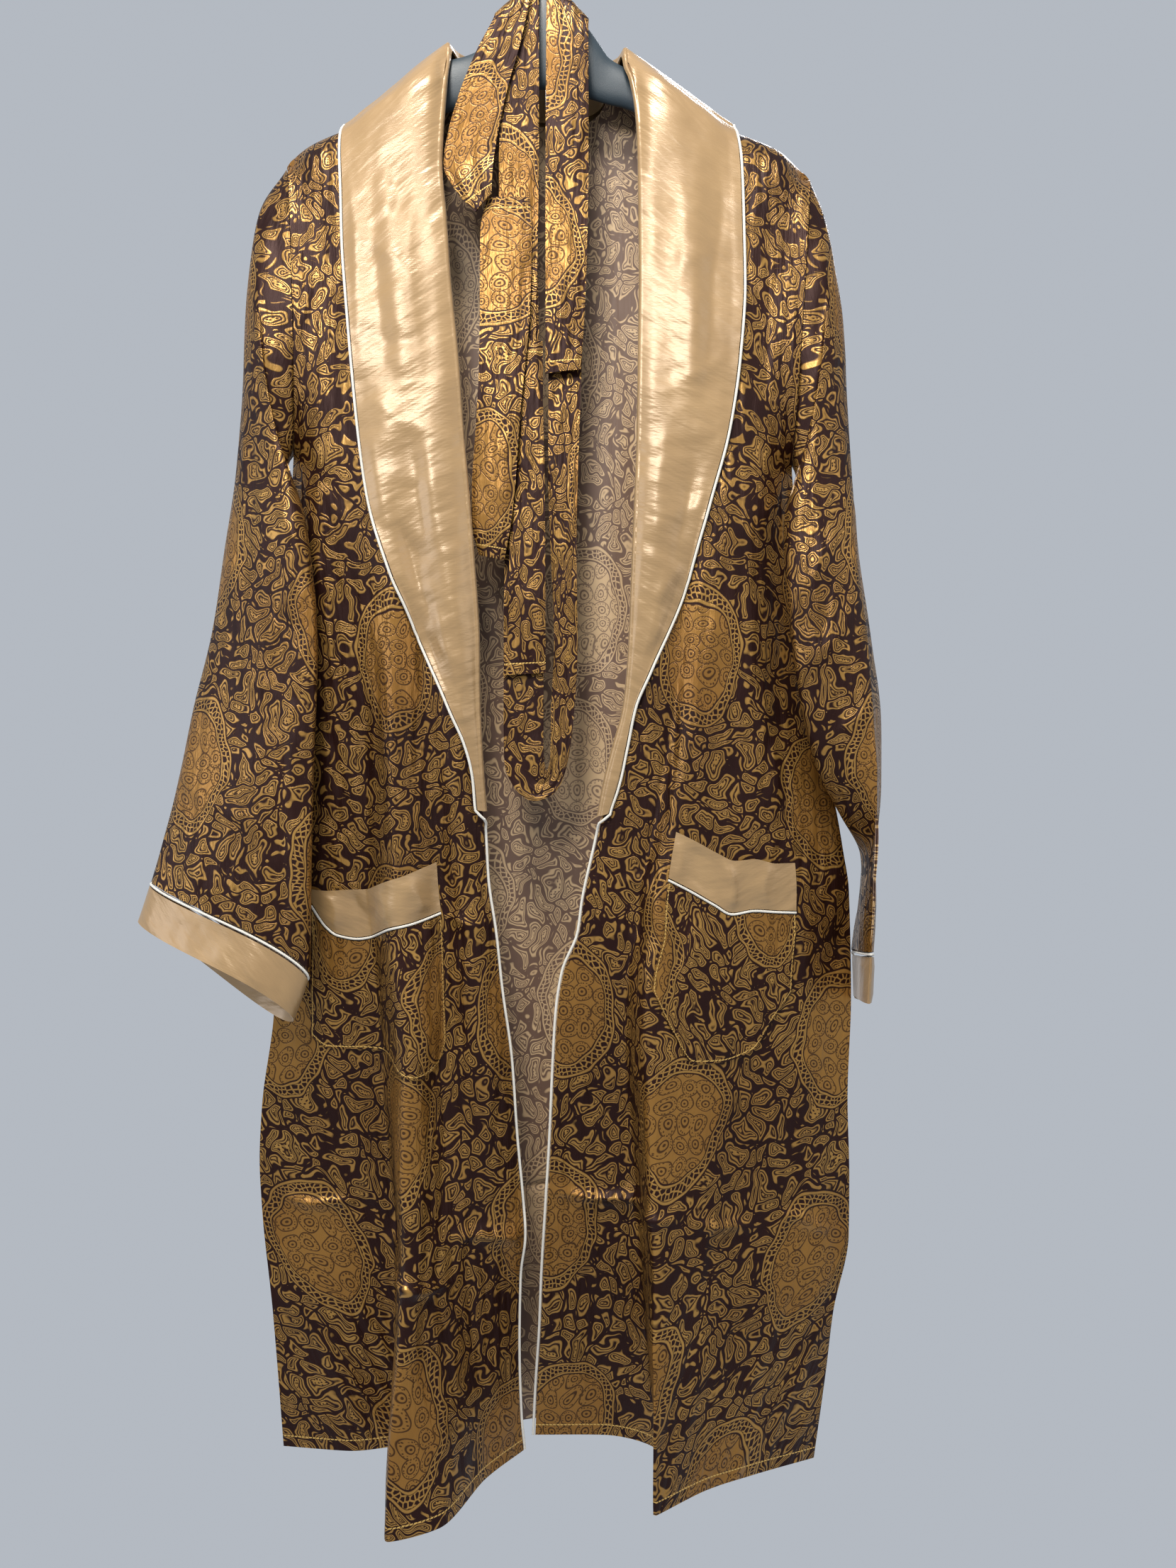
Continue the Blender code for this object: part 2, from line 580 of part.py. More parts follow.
COLLAR_BACK = [
    # over the shoulder and round the back of the neck to the centre
    Section(80, 0, 126, 83.6, 0, 118.5, 170, 0, 189.8),
    Section(77, 8, 128, 81, 8, 117.3, 167, 8, 194.5),
    Section(72, 15.5, 139, 77, 16.5, 116.5, 158, 12, 204),
    Section(58, 26, 157, 64, 28, 115.5, 134, 20, 214),
    Section(33, 29.5, 166, 36, 33.5, 115, 78, 34, 221),
    Section(0, 31, 170.5, 0, 35.5, 114.5, 0, 38, 223),
]
LEFT_NECK_REACH = 0.84
LEFT_NECK_DROP = 5.0
COLLAR_ACROSS = (0.0, 0.12, 0.3, 0.5, 0.7, 0.86, 1.0)
ROLL_CROWN = 4.5
# The collar's first points turn round the front's edge, from behind it; near the neck point they stay beside it
LIP_TURNS = (155, 95, 35)
LIP_TURNS_AT_NECK = (80, 60, 35)
NECK_POINT_DROP = 162


def collar_section(side, section, in_front):
    """Points of one section of the collar's inner face, from the stand to the outer edge."""
    s = section
    points = []
    if in_front:
        depth = float(column(FRONT_EDGE[side], "drop", "depth", s.roll_d)) + SEAM_GAP / 2
        turn = CLOTH / 2 + COLLAR_LIFT
        for angle in LIP_TURNS if s.roll_d > NECK_POINT_DROP else LIP_TURNS_AT_NECK:
            a = math.radians(angle)
            points.append((side * (s.roll_x - 0.6 - 0.7 * turn * math.sin(a)),
                           -depth - CLOTH / 2 - turn * math.cos(a), -s.roll_d))
    else:
        for share in (0.0, 0.4, 0.8):
            points.append((side * (s.stand_x + (s.roll_x - s.stand_x) * share),
                           s.stand_y + (s.roll_y - s.stand_y) * share,
                           -(s.stand_d + (s.roll_d - s.stand_d) * share)))
    for share in COLLAR_ACROSS:
        x = s.roll_x + (s.out_x - s.roll_x) * share
        y = s.roll_y + (s.out_y - s.roll_y) * share
        drop = s.roll_d + (s.out_d - s.roll_d) * share
        crown = ROLL_CROWN * math.sin(math.pi * share ** 0.6) * min(1.0, (s.out_x - s.roll_x) / 60)
        if in_front:
            y = -front_depth(side, side * x, drop) - CLOTH - COLLAR_LIFT - crown
        else:
            y += crown * 0.6
        points.append((side * x, y, -drop))
    return points


def collar_sections(side):
    """All sections of one half, from the break at the front to the centre back."""
    sections = []
    for roll_x, roll_d, out_x, out_d in COLLAR_FRONT[side]:
        sections.append((Section(0, 0, 0, roll_x, -0.01, roll_d, out_x, -0.01, out_d), True))
    for row in COLLAR_BACK:
        if side == LEFT:
            # The neck reaches less far out on this side, and its shoulder point lies a little lower
            low = LEFT_NECK_DROP * row.roll_x / COLLAR_BACK[0].roll_x
            row = row._replace(roll_x=row.roll_x * LEFT_NECK_REACH, stand_x=row.stand_x * LEFT_NECK_REACH,
                               out_x=row.out_x * 0.952, roll_d=row.roll_d + low, stand_d=row.stand_d + low)
        sections.append((row, False))
    return sections


def collar_grid(side):
    grid = []
    for section, in_front in collar_sections(side):
        grid.append(collar_section(side, section, in_front))
    front = "right_front" if side == RIGHT else "left_front"
    grid = keep_clear(grid, [front, "back"], COLLAR_LIFT * 0.8, first_column=len(LIP_TURNS))
    grid[-1, :, 0] = side * SEAM_GAP / 2
    return grid


def build_collar():
    grids = {}
    for side, name in ((RIGHT, "right_collar"), (LEFT, "left_collar")):
        grids[side] = collar_grid(side)
        wall(name, grids[side], SATIN, plain_satin(), flip=side == LEFT, square=["last row"])
    return grids


# Piping down each front edge and round the collar's outer edge

def beside_edge(grid, thickness, flip):
    """Places for a cord beside a wall's last column, level with the middle of the wall."""
    normal = grid_normals(grid, False) * (-1 if flip else 1)
    edge = grid[:, -1]
    step = np.diff(edge, axis=0)
    step /= np.linalg.norm(step, axis=1, keepdims=True)
    along = np.vstack([step[:1], step[:-1] + step[1:], step[-1:]])
    along /= np.linalg.norm(along, axis=1, keepdims=True)
    turn = np.sum(along * np.vstack([step, step[-1:]]), axis=1)
    out = edge - grid[:, -2]
    out -= along * np.sum(out * along, axis=1, keepdims=True)
    out /= np.linalg.norm(out, axis=1, keepdims=True) * turn[:, None]
    return edge + normal[:, -1] * thickness / 2 + out * (PIPING_RADIUS + SEAM_GAP)


def build_front_piping(collars):
    for side, name in ((RIGHT, "right_front_piping"), (LEFT, "left_front_piping")):
        front = "right_front" if side == RIGHT else "left_front"
        edge_line = beside_edge(front_grid(side), CLOTH, side == LEFT)
        round_collar = beside_edge(collars[side], SATIN, side == LEFT)
        round_collar[-1, 0] = side * (SEAM_GAP / 2 + 0.3)
        round_collar = keep_clear(round_collar, [front, "back"], PIPING_RADIUS + SEAM_GAP)
        head = round_collar[0]
        level = -head[2]

        def beside(drop):
            return np.array([np.interp(drop, -edge_line[:, 2], edge_line[:, k]) for k in range(3)])

        # From the collar's lower end the cord crosses the front's edge and goes on down beside it
        under = beside(level + 4)
        turn = [np.array([(head[0] + under[0]) / 2, head[1], head[2] - 4]),
                np.array([under[0] - side * 0.2, head[1] + 0.3, head[2] - 7.5]),
                np.array([under[0] - side * 1.2, under[1] - 1.6, head[2] - 10.5]),
                beside(level + 16)]
        down_front = [place for place in edge_line if -place[2] > level + 26]
        tube(name, list(round_collar[::-1]) + turn + down_front, PIPING_RADIUS, piping_cotton())


# Patch pockets with a satin band at the mouth, made from the front's own points

BandPlace = namedtuple("BandPlace", "x mouth seam")
POCKET_BAND = {
    # along the band from its outer end: distance from the middle, the mouth's drop and the seam's drop
    RIGHT: [BandPlace(198, 850, 864), BandPlace(186, 851, 882), BandPlace(177, 850.5, 889),
            BandPlace(160, 849.5, 892), BandPlace(147, 849, 890), BandPlace(124, 841, 880),
            BandPlace(106, 833, 875), BandPlace(88, 826, 869)],
    LEFT: [BandPlace(213, 827, 869), BandPlace(196, 827, 868), BandPlace(176, 823, 866.5),
           BandPlace(157.5, 824, 869), BandPlace(142, 818, 861), BandPlace(122, 808.5, 850),
           BandPlace(101.5, 800, 840)],
}
FootPlace = namedtuple("FootPlace", "x drop")
POCKET_FOOT = {
    RIGHT: [FootPlace(198, 975), FootPlace(184, 986), FootPlace(157, 987), FootPlace(137, 989),
            FootPlace(112, 1001), FootPlace(96, 994), FootPlace(88, 975)],
    LEFT: [FootPlace(213, 935), FootPlace(200, 957), FootPlace(186, 984), FootPlace(160, 992),
           FootPlace(138, 991), FootPlace(120, 966), FootPlace(101.5, 930)],
}
POCKET_LEVEL = 870
PATCH_ROWS = 9
BAND_ROWS = 4
PIPED_SEAM_HALF = 1.75
POCKET_PIPING_RADIUS = 1.2


def off_front(side, step, drop, lift):
    """A point of a front, moved out square to its outer face."""
    def inside(at_step, at_drop):
        x, depth = front_row(side, at_drop, np.array([at_step]))
        return np.array([float(x[0]), -float(depth[0]) - SEAM_GAP / 2, -at_drop])
    across = inside(step + 0.01, drop) - inside(step - 0.01, drop)
    down = inside(step, drop + 3) - inside(step, drop - 3)
    normal = np.cross(down, across) * (1 if side == RIGHT else -1)
    return inside(step, drop) + normal / np.linalg.norm(normal) * (CLOTH + lift)


def pocket_columns(side):
    """The front's own columns that the pocket covers, with its two ends: (step, distance from the middle)."""
    fine = np.linspace(0, 1, 201)
    row_x = side * front_row(side, POCKET_LEVEL, fine)[0]
    outer, inner = POCKET_BAND[side][0].x, POCKET_BAND[side][-1].x
    ends = np.interp([-outer, -inner], -row_x, fine)
    panel_steps = np.linspace(0, 1, FRONT_COLUMNS)
    between = [s for s in panel_steps if ends[0] + 0.02 < s < ends[1] - 0.02]
    steps = [ends[0]] + between + [ends[1]]
    return [(step, float(np.interp(step, fine, row_x))) for step in steps]


def build_pockets():
    for side, prefix in ((RIGHT, "right"), (LEFT, "left")):
        band, feet = POCKET_BAND[side], POCKET_FOOT[side]
        keys = [-place.x for place in band]
        mouths = [place.mouth for place in band]
        seams = [place.seam for place in band]
        outer, inner = keys[0], keys[-1]
        band_columns, patch_columns, piping = [], [], []
        for step, x in pocket_columns(side):
            mouth = float(smooth(keys, mouths, -x))
            seam = float(smooth(keys, seams, -x))
            slope = float(smooth(keys, seams, -x + 2) - smooth(keys, seams, -x - 2)) / 4
            half = PIPED_SEAM_HALF * math.sqrt(1 + slope ** 2)
            foot = float(smooth([-place.x for place in feet], [place.drop for place in feet], -x))
            middle = math.sin(math.pi * (-x - outer) / (inner - outer))
            band_columns.append([off_front(side, step, mouth + (seam - half - mouth) * row,
                                           LAY_GAP + 2.2 * middle * (1 - row))
                                 for row in np.linspace(0, 1, BAND_ROWS)])
            patch_columns.append([off_front(side, step, seam + half + (foot - seam - half) * row,
                                            LAY_GAP + 1.2 * middle * math.sin(math.pi * row))
                                  for row in np.linspace(0, 1, PATCH_ROWS)])
            piping.append(off_front(side, step, seam, LAY_GAP + POCKET_PIPING_RADIUS))
        flip = side == LEFT
        front = [prefix + "_front"]
        band_grid = keep_clear(np.swapaxes(band_columns, 0, 1), front, LAY_GAP)
        patch_grid = keep_clear(np.swapaxes(patch_columns, 0, 1), front, LAY_GAP)
        piping = keep_clear(piping, front, LAY_GAP + POCKET_PIPING_RADIUS)
        wall(prefix + "_pocket_band", band_grid, SATIN, plain_satin(), flip=flip)
        wall(prefix + "_pocket", patch_grid, CLOTH, brocade(), flip=flip)
        tube(prefix + "_pocket_piping", piping, POCKET_PIPING_RADIUS, piping_cotton(), sides=5)


# The belt: one long strip folded over the hanger, built as the stretches that show. Each row is one
# place along a stretch, with the strip's two edges: x, depth towards the viewer, drop.

Strip = namedtuple("Strip", "ax ad adr bx bd bdr")
BELT = {
    "belt_fold": [Strip(-46, -21, 142, -14, -21, 120), Strip(-43, -18, 116, -12, -18, 90),
                  Strip(-38, 0, 96.4, -10, 0, 70.4), Strip(-41, 20, 108, -11, 20.5, 88),
                  Strip(-57, 22, 140, -19, 22.5, 130), Strip(-71.5, 21, 175, -29, 22, 165),
                  Strip(-81, 20, 208, -37, 22, 200), Strip(-84.5, 20, 234, -41, 23, 224),
                  Strip(-72, 24, 261, -43, 26, 246), Strip(-57, 25.5, 277, -44, 26, 262)],
    "belt_middle": [Strip(-31, -16.5, 134, -4, -16.5, 116), Strip(-30, -13, 114, -4, -13, 92),
                    Strip(-26, 0, 91, -4, 0, 69.5), Strip(-28, 14.5, 104, -4, 14.5, 84),
                    Strip(-33, 17, 150, -4, 17, 146), Strip(-38, 16.5, 230, -4, 17, 228),
                    Strip(-38, 16.5, 300, -5, 17, 298), Strip(-36, 16.5, 352, -6, 17, 350),
                    Strip(-34, 16.5, 404, -7, 17, 402)],
    "belt_left_end": [Strip(-48, 19.2, 262, -12, 19.2, 262), Strip(-53.5, 20.4, 292, -10, 20.4, 289),
                      Strip(-53.5, 24, 360, -11.5, 24, 360), Strip(-54, 26, 405, -15.5, 25, 405),
                      Strip(-56.5, 25, 455, -20, 27, 455), Strip(-60, 24, 512, -24, 27, 512),
                      Strip(-60, 23, 540, -28, 27, 545), Strip(-54, 22, 566, -33, 25, 571)],
    "belt_right_end": [Strip(4, -18.5, 118, 34, -18.5, 140), Strip(4, -15, 88, 36, -15, 116),
                       Strip(3.5, 0, 69, 37, 0, 101), Strip(3, 16, 80, 37.5, 16, 110),
                       Strip(2.4, 19, 150, 38, 20, 152), Strip(2, 21, 230, 38, 19.5, 230),
                       Strip(2, 20, 300, 37, 22, 300), Strip(2, 22, 360, 34.5, 20, 361),
                       Strip(2, 21, 412, 31.5, 22, 409)],
    "belt_tail": [Strip(-28, 19.2, 384, -.8, 19.2, 384), Strip(-28, 19, 430, -.6, 19.4, 430),
                  Strip(-28, 20, 500, 1, 22, 500), Strip(-28.5, 22, 560, 1.5, 23, 560),
                  Strip(-29, 22, 620, 1.8, 24, 620), Strip(-34, 22, 668, 1.8, 23, 666)],
    "belt_loop": [Strip(-29, 12.6, 150, -5, 12.6, 146), Strip(-30, 13, 240, -6, 13, 240),
                  Strip(-31, 13.9, 330, -5, 14.2, 330), Strip(-32, 14.1, 430, -3, 14.4, 430),
                  Strip(-33, 14, 540, -1, 15, 540), Strip(-34, 15, 640, 0, 17, 640),
                  Strip(-34, 17, 700, 0, 19, 700), Strip(-33, 19, 742, 0, 20, 728),
                  Strip(-24, 21, 764, 1, 20, 744), Strip(-8, 22, 775, 3.2, 20, 750),
                  Strip(9, 21, 768, 5, 20, 744), Strip(20, 20, 744, 6, 19, 728),
                  Strip(26, 19, 700, 6.4, 18, 700), Strip(29, 18, 640, 9, 17, 640),
                  Strip(28, 17, 560, 6, 16, 560), Strip(29, 16, 500, 4, 15, 500),
                  Strip(31.5, 14, 430, 4, 14, 430), Strip(34, 13, 330, 4, 13, 330),
                  Strip(34, 13, 240, 5, 13, 240), Strip(33, 12.6, 156, 4.5, 12.6, 152)],
}
BELT_CROWN = {"belt_fold": 1.0, "belt_middle": 0.5, "belt_left_end": 1.6, "belt_right_end": 1.5,
              "belt_tail": 1.0, "belt_loop": 0.2}
BELT_THICKNESS = 1.8
BELT_ROW = 45


def build_belt():
    for name, rows in BELT.items():
        first = np.array([(r.ax, -r.ad, -r.adr) for r in rows], float)
        second = np.array([(r.bx, -r.bd, -r.bdr) for r in rows], float)
        middle = (first + second) / 2
        reach = np.concatenate([[0], np.cumsum(np.linalg.norm(np.diff(middle, axis=0), axis=1))])
        count = max(9, int(reach[-1] / BELT_ROW))
        places = np.unique(np.concatenate([np.linspace(0, reach[-1], count), reach]))
        keep = [places[0]]
        for place in places[1:]:
            if place - keep[-1] > 7:
                keep.append(place)
        keep[-1] = places[-1]
        one = np.stack([smooth(reach, first[:, k], keep) for k in range(3)], axis=1)
        two = np.stack([smooth(reach, second[:, k], keep) for k in range(3)], axis=1)
        shares = (0.0, 0.33, 0.67, 1.0)
        grid = np.stack([one + (two - one) * share for share in shares], axis=1)
        normal = grid_normals(grid, False)
        for k, share in enumerate(shares):
            grid[:, k] += normal[:, k] * BELT_CROWN[name] * math.sin(math.pi * share)
        wall(name, grid, BELT_THICKNESS, brocade(), flip=False)


# The hanger: a moulded plastic body and a steel hook that stands in its neck

Arm = namedtuple("Arm", "x top bottom half_depth")
HANGER_ARMS = {
    RIGHT: [Arm(0, 68, 158, 8.5), Arm(12, 79.4, 159.5, 8.5), Arm(25, 92, 162, 8.5), Arm(39, 106, 166, 8.5),
            Arm(47, 115, 168.5, 7.5), Arm(56, 124, 171, 7), Arm(70, 130, 174.5, 6.5), Arm(84, 133.6, 178, 7),
            Arm(103, 149, 188, 7.5), Arm(120, 162, 197, 8), Arm(134, 174, 205, 8),
            Arm(152, 187.5, 214, 8), Arm(171, 200.5, 223, 7.5), Arm(183, 206, 229, 7), Arm(195, 211, 233, 6),
            Arm(203, 217, 233, 5), Arm(207, 221, 230, 3)],
    LEFT: [Arm(0, 68, 158, 8.5), Arm(12, 79.4, 159.5, 8.5), Arm(25, 92, 162, 8.5), Arm(39, 107, 166, 8.5),
           Arm(47, 118, 168.5, 7.5), Arm(56, 131, 171, 7), Arm(70, 140, 174.5, 7.2), Arm(84, 150, 181, 6.5),
           Arm(100, 159.5, 191, 7.5), Arm(115, 170, 200, 8), Arm(130, 180.5, 210, 8),
           Arm(145, 190.8, 218, 8), Arm(160, 200.5, 226, 7.5), Arm(179, 209, 236, 7), Arm(198, 217, 241, 6),
           Arm(208, 224.5, 241, 5), Arm(212, 228, 238, 3)],
}
HANGER_SIDES = 12
HOOK_WIRE = 2.2
HOOK_INNER = 19.0


def build_hanger():
    plastic = material("hanger_plastic", (0.03, 0.045, 0.055), 0.45)
    rows = []
    for side in (RIGHT, LEFT):
        rows.append([(side * row.x, row.top, row.bottom, row.half_depth) for row in HANGER_ARMS[side]])
    stations = rows[0][:0:-1] + rows[1]
    bm = bmesh.new()
    loops = []
    for x, top, bottom, half_depth in stations:
        loop = []
        for k in range(HANGER_SIDES):
            angle = 2 * math.pi * k / HANGER_SIDES
            y = half_depth * math.sin(angle)
            drop = (top + bottom) / 2 - (bottom - top) / 2 * math.cos(angle)
            loop.append(bm.verts.new((x * MM, y * MM, -drop * MM)))
        loops.append(loop)
    for first, second in zip(loops, loops[1:]):
        for k in range(HANGER_SIDES):
            m = (k + 1) % HANGER_SIDES
            bm.faces.new((first[k], first[m], second[m], second[k]))
    bm.faces.new(loops[0])
    bm.faces.new(loops[-1])
    finish("hanger_body", bm, plastic)

    reach = HOOK_INNER + HOOK_WIRE
    path = []
    for degrees in range(200, -46, -12):
        angle = math.radians(degrees)
        path.append((reach * math.cos(angle), 0, -HOOK_INNER + reach * math.sin(angle)))
    path.append((7.5, 0, -41.5))
    path.append((1.8, 0, -47.5))
    path.append((0, 0, -54))
    path.append((0, 0, -67.7))
    tube("hanger_hook", path, HOOK_WIRE, material("hook_steel", (0.6, 0.6, 0.6), 0.25, 1.0), sides=10)


for leftover in list(bpy.data.objects):
    bpy.data.objects.remove(leftover, do_unlink=True)
build_fronts()
build_back()
build_sleeves()
build_cuffs()
build_front_piping(build_collar())
build_pockets()
build_belt()
build_hanger()
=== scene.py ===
"""A satin dressing gown with a shawl collar, hung open on a wide hanger, its belt laid over the hanger.

Metres, +Z up, the gown faces -Y, and the origin is the inside of the hook's crown. Right and left are the
wearer's, so the right side is at -X. Tables are in millimetres, and a drop is a distance below the origin.
"""
import math

import bmesh
import bpy
import numpy as np
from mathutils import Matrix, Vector, noise
from mathutils.bvhtree import BVHTree


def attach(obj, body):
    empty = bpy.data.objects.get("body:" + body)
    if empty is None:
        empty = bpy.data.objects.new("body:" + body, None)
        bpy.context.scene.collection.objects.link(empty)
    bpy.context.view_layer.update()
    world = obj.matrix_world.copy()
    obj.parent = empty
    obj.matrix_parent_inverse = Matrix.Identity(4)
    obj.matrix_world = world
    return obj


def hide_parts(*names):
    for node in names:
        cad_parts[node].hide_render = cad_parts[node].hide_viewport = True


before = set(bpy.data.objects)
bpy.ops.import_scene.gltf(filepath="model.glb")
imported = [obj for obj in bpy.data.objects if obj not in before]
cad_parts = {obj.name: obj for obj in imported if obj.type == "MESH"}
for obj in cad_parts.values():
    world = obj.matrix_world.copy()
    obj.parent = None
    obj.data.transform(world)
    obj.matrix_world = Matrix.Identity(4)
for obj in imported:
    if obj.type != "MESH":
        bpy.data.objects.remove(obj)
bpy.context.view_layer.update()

# The hanger's body is injection-moulded polypropylene, hollow-backed and about 17 mm deep, with wide
# shoulders. It is dyed dark slate in the mass, and the mould's fine grain leaves it half matt.

MM = 0.001

# x from the middle, drop of the top, drop of the underside, half the depth
RIGHT_ARM = [(0, 68, 158, 8.5), (12, 79.4, 159.5, 8.5), (25, 92, 162, 8.5), (39, 106, 166, 8.5),
             (47, 115, 168.5, 7.5), (56, 124, 171, 7), (70, 130, 174.5, 6.5), (84, 133.6, 178, 7),
             (103, 149, 188, 7.5), (120, 162, 197, 8), (134, 174, 205, 8), (152, 187.5, 214, 8),
             (171, 200.5, 223, 7.5), (183, 206, 229, 7), (195, 211, 233, 6), (203, 217, 233, 5),
             (207, 221, 230, 3)]
LEFT_ARM = [(0, 68, 158, 8.5), (12, 79.4, 159.5, 8.5), (25, 92, 162, 8.5), (39, 107, 166, 8.5),
            (47, 118, 168.5, 7.5), (56, 131, 171, 7), (70, 140, 174.5, 7.2), (84, 150, 181, 6.5),
            (100, 159.5, 191, 7.5), (115, 170, 200, 8), (130, 180.5, 210, 8), (145, 190.8, 218, 8),
            (160, 200.5, 226, 7.5), (179, 209, 236, 7), (198, 217, 241, 6), (208, 224.5, 241, 5),
            (212, 228, 238, 3)]


def through(keys, values, at):
    """Read a short table at any places, smoothly and without overshoot between its rows."""
    keys = np.asarray(keys, float)
    values = np.asarray(values, float)
    at = np.clip(np.atleast_1d(np.asarray(at, float)), keys[0], keys[-1])
    if values.ndim == 1:
        values = np.repeat(values[:, None], len(at), axis=1)
    width = np.diff(keys)[:, None]
    slope = np.diff(values, axis=0) / width
    tangent = np.vstack([slope[:1], np.zeros_like(slope[1:]), slope[-1:]])
    rising = slope[:-1] * slope[1:] > 0
    one = np.where(rising, slope[:-1], 1)
    two = np.where(rising, slope[1:], 1)
    before = 2 * width[1:] + width[:-1]
    after = width[1:] + 2 * width[:-1]
    tangent[1:-1] = np.where(rising, (before + after) / (before / one + after / two), 0)
    row = np.clip(np.searchsorted(keys, at, side="right") - 1, 0, len(keys) - 2)
    place = np.arange(len(at))
    span = width[row, 0]
    u = (at - keys[row]) / span
    rise = (1 + 2 * u) * (1 - u) ** 2 * values[row, place] + u * u * (3 - 2 * u) * values[row + 1, place]
    bend = u * (1 - u) ** 2 * tangent[row, place] - u * u * (1 - u) * tangent[row + 1, place]
    return rise + span * bend


def linear(code):
    """An sRGB hex value as a linear colour."""
    parts = [int(code[i:i + 2], 16) / 255 for i in (1, 3, 5)]
    return tuple(c / 12.92 if c <= 0.04045 else ((c + 0.055) / 1.055) ** 2.4 for c in parts) + (1,)


def add(tree, kind, inputs, out=0, **settings):
    """Add a node with its settings and inputs, which are values or sockets, and give one of its outputs."""
    node = tree.nodes.new("ShaderNode" + kind)
    for name, value in settings.items():
        setattr(node, name, value)
    for name, value in inputs.items():
        if isinstance(value, bpy.types.NodeSocket):
            tree.links.new(value, node.inputs[name])
        else:
            node.inputs[name].default_value = value
    return node.outputs[out] if len(node.outputs) else node


def blank(name):
    made = bpy.data.materials.new(name)
    made.use_nodes = True
    made.node_tree.nodes.clear()
    return made


# Moulded polypropylene: a fine grain of about 0.6 mm breaks the gloss, and handling has polished patches
moulded_plastic = blank("moulded_polypropylene")
tree = moulded_plastic.node_tree
here = add(tree, "TexCoord", {}, out="Object")
grain = add(tree, "TexNoise", {"Vector": here, "Scale": 1600.0, "Detail": 2.0})
handled = add(tree, "TexNoise", {"Vector": here, "Scale": 28.0, "Detail": 3.0})
slate = add(tree, "Mix", {"Factor": handled, "A": linear("#232D34"), "B": linear("#36444D")}, out=2,
            data_type="RGBA")
gloss = add(tree, "MapRange", {"Value": handled, "To Min": 0.36, "To Max": 0.56})
skin = add(tree, "Bump", {"Height": grain, "Strength": 0.35, "Distance": 0.0003})
shader = add(tree, "BsdfPrincipled", {"Base Color": slate, "Roughness": gloss, "IOR": 1.49, "Normal": skin})
add(tree, "OutputMaterial", {"Surface": shader})


BODY_SECTIONS = 71
BODY_SIDES = 28


def moulded_body():
    """Round-edged sections along both arms, about 3 mm apart."""
    points = []
    for arm, side in ((RIGHT_ARM, -1), (LEFT_ARM, 1)):
        far = arm[-1][0]
        reach = np.linspace(far, 0, BODY_SECTIONS) if side < 0 else np.linspace(0, far, BODY_SECTIONS)[1:]
        top, under, deep = (through([r[0] for r in arm], [r[k] for r in arm], reach) for k in (1, 2, 3))
        for x, a, b, d in zip(side * reach, top, under, deep):
            angles = np.linspace(0, 2 * math.pi, BODY_SIDES, endpoint=False)
            points.append([(x, d * math.sin(t), -(a + b) / 2 + (b - a) / 2 * math.cos(t)) for t in angles])
    bm = bmesh.new()
    loops = [[bm.verts.new(np.array(p) * MM) for p in loop] for loop in points]
    for first, second in zip(loops, loops[1:]):
        for k in range(BODY_SIDES):
            m = (k + 1) % BODY_SIDES
            bm.faces.new((first[k], first[m], second[m], second[k]))
    bm.faces.new(loops[0])
    bm.faces.new(loops[-1])
    return bm


SHARP_EDGE = math.radians(55)


def place_mesh(name, bm, finishes):
    """Turn a mesh into an object that hangs with the gown."""
    bmesh.ops.recalc_face_normals(bm, faces=bm.faces)
    mesh = bpy.data.meshes.new(name)
    bm.to_mesh(mesh)
    bm.free()
    mesh.shade_smooth()
    mesh.set_sharp_from_angle(angle=SHARP_EDGE)
    for finish in finishes:
        mesh.materials.append(finish)
    made = bpy.data.objects.new(name, mesh)
    bpy.context.scene.collection.objects.link(made)
    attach(made, "root")
    return made


body = place_mesh("hanger_shoulders", moulded_body(), [moulded_plastic])
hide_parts("hanger_body")


# The hook is bent from 4.4 mm steel wire and bright plated, and its straight end is moulded into the neck.

HOOK_WIRE = 2.2
HOOK_INNER = 19.0

# Bright plated steel: drawing leaves faint scratches along the wire, so the reflections are a little soft
plated_steel = blank("plated_steel")
tree = plated_steel.node_tree
here = add(tree, "TexCoord", {}, out="Object")
drawn = add(tree, "TexNoise", {"Vector": here, "Scale": 900.0, "Detail": 4.0})
tarnish = add(tree, "TexNoise", {"Vector": here, "Scale": 60.0, "Detail": 2.0})
steel = add(tree, "Mix", {"Factor": tarnish, "A": linear("#C9CBCE"), "B": linear("#E2E3E4")}, out=2,
            data_type="RGBA")
polish = add(tree, "MapRange", {"Value": drawn, "To Min": 0.14, "To Max": 0.30})
scratch = add(tree, "Bump", {"Height": drawn, "Strength": 0.2, "Distance": 0.0001})
shader = add(tree, "BsdfPrincipled", {"Base Color": steel, "Metallic": 1.0, "Roughness": polish,
                                      "Normal": scratch})
add(tree, "OutputMaterial", {"Surface": shader})


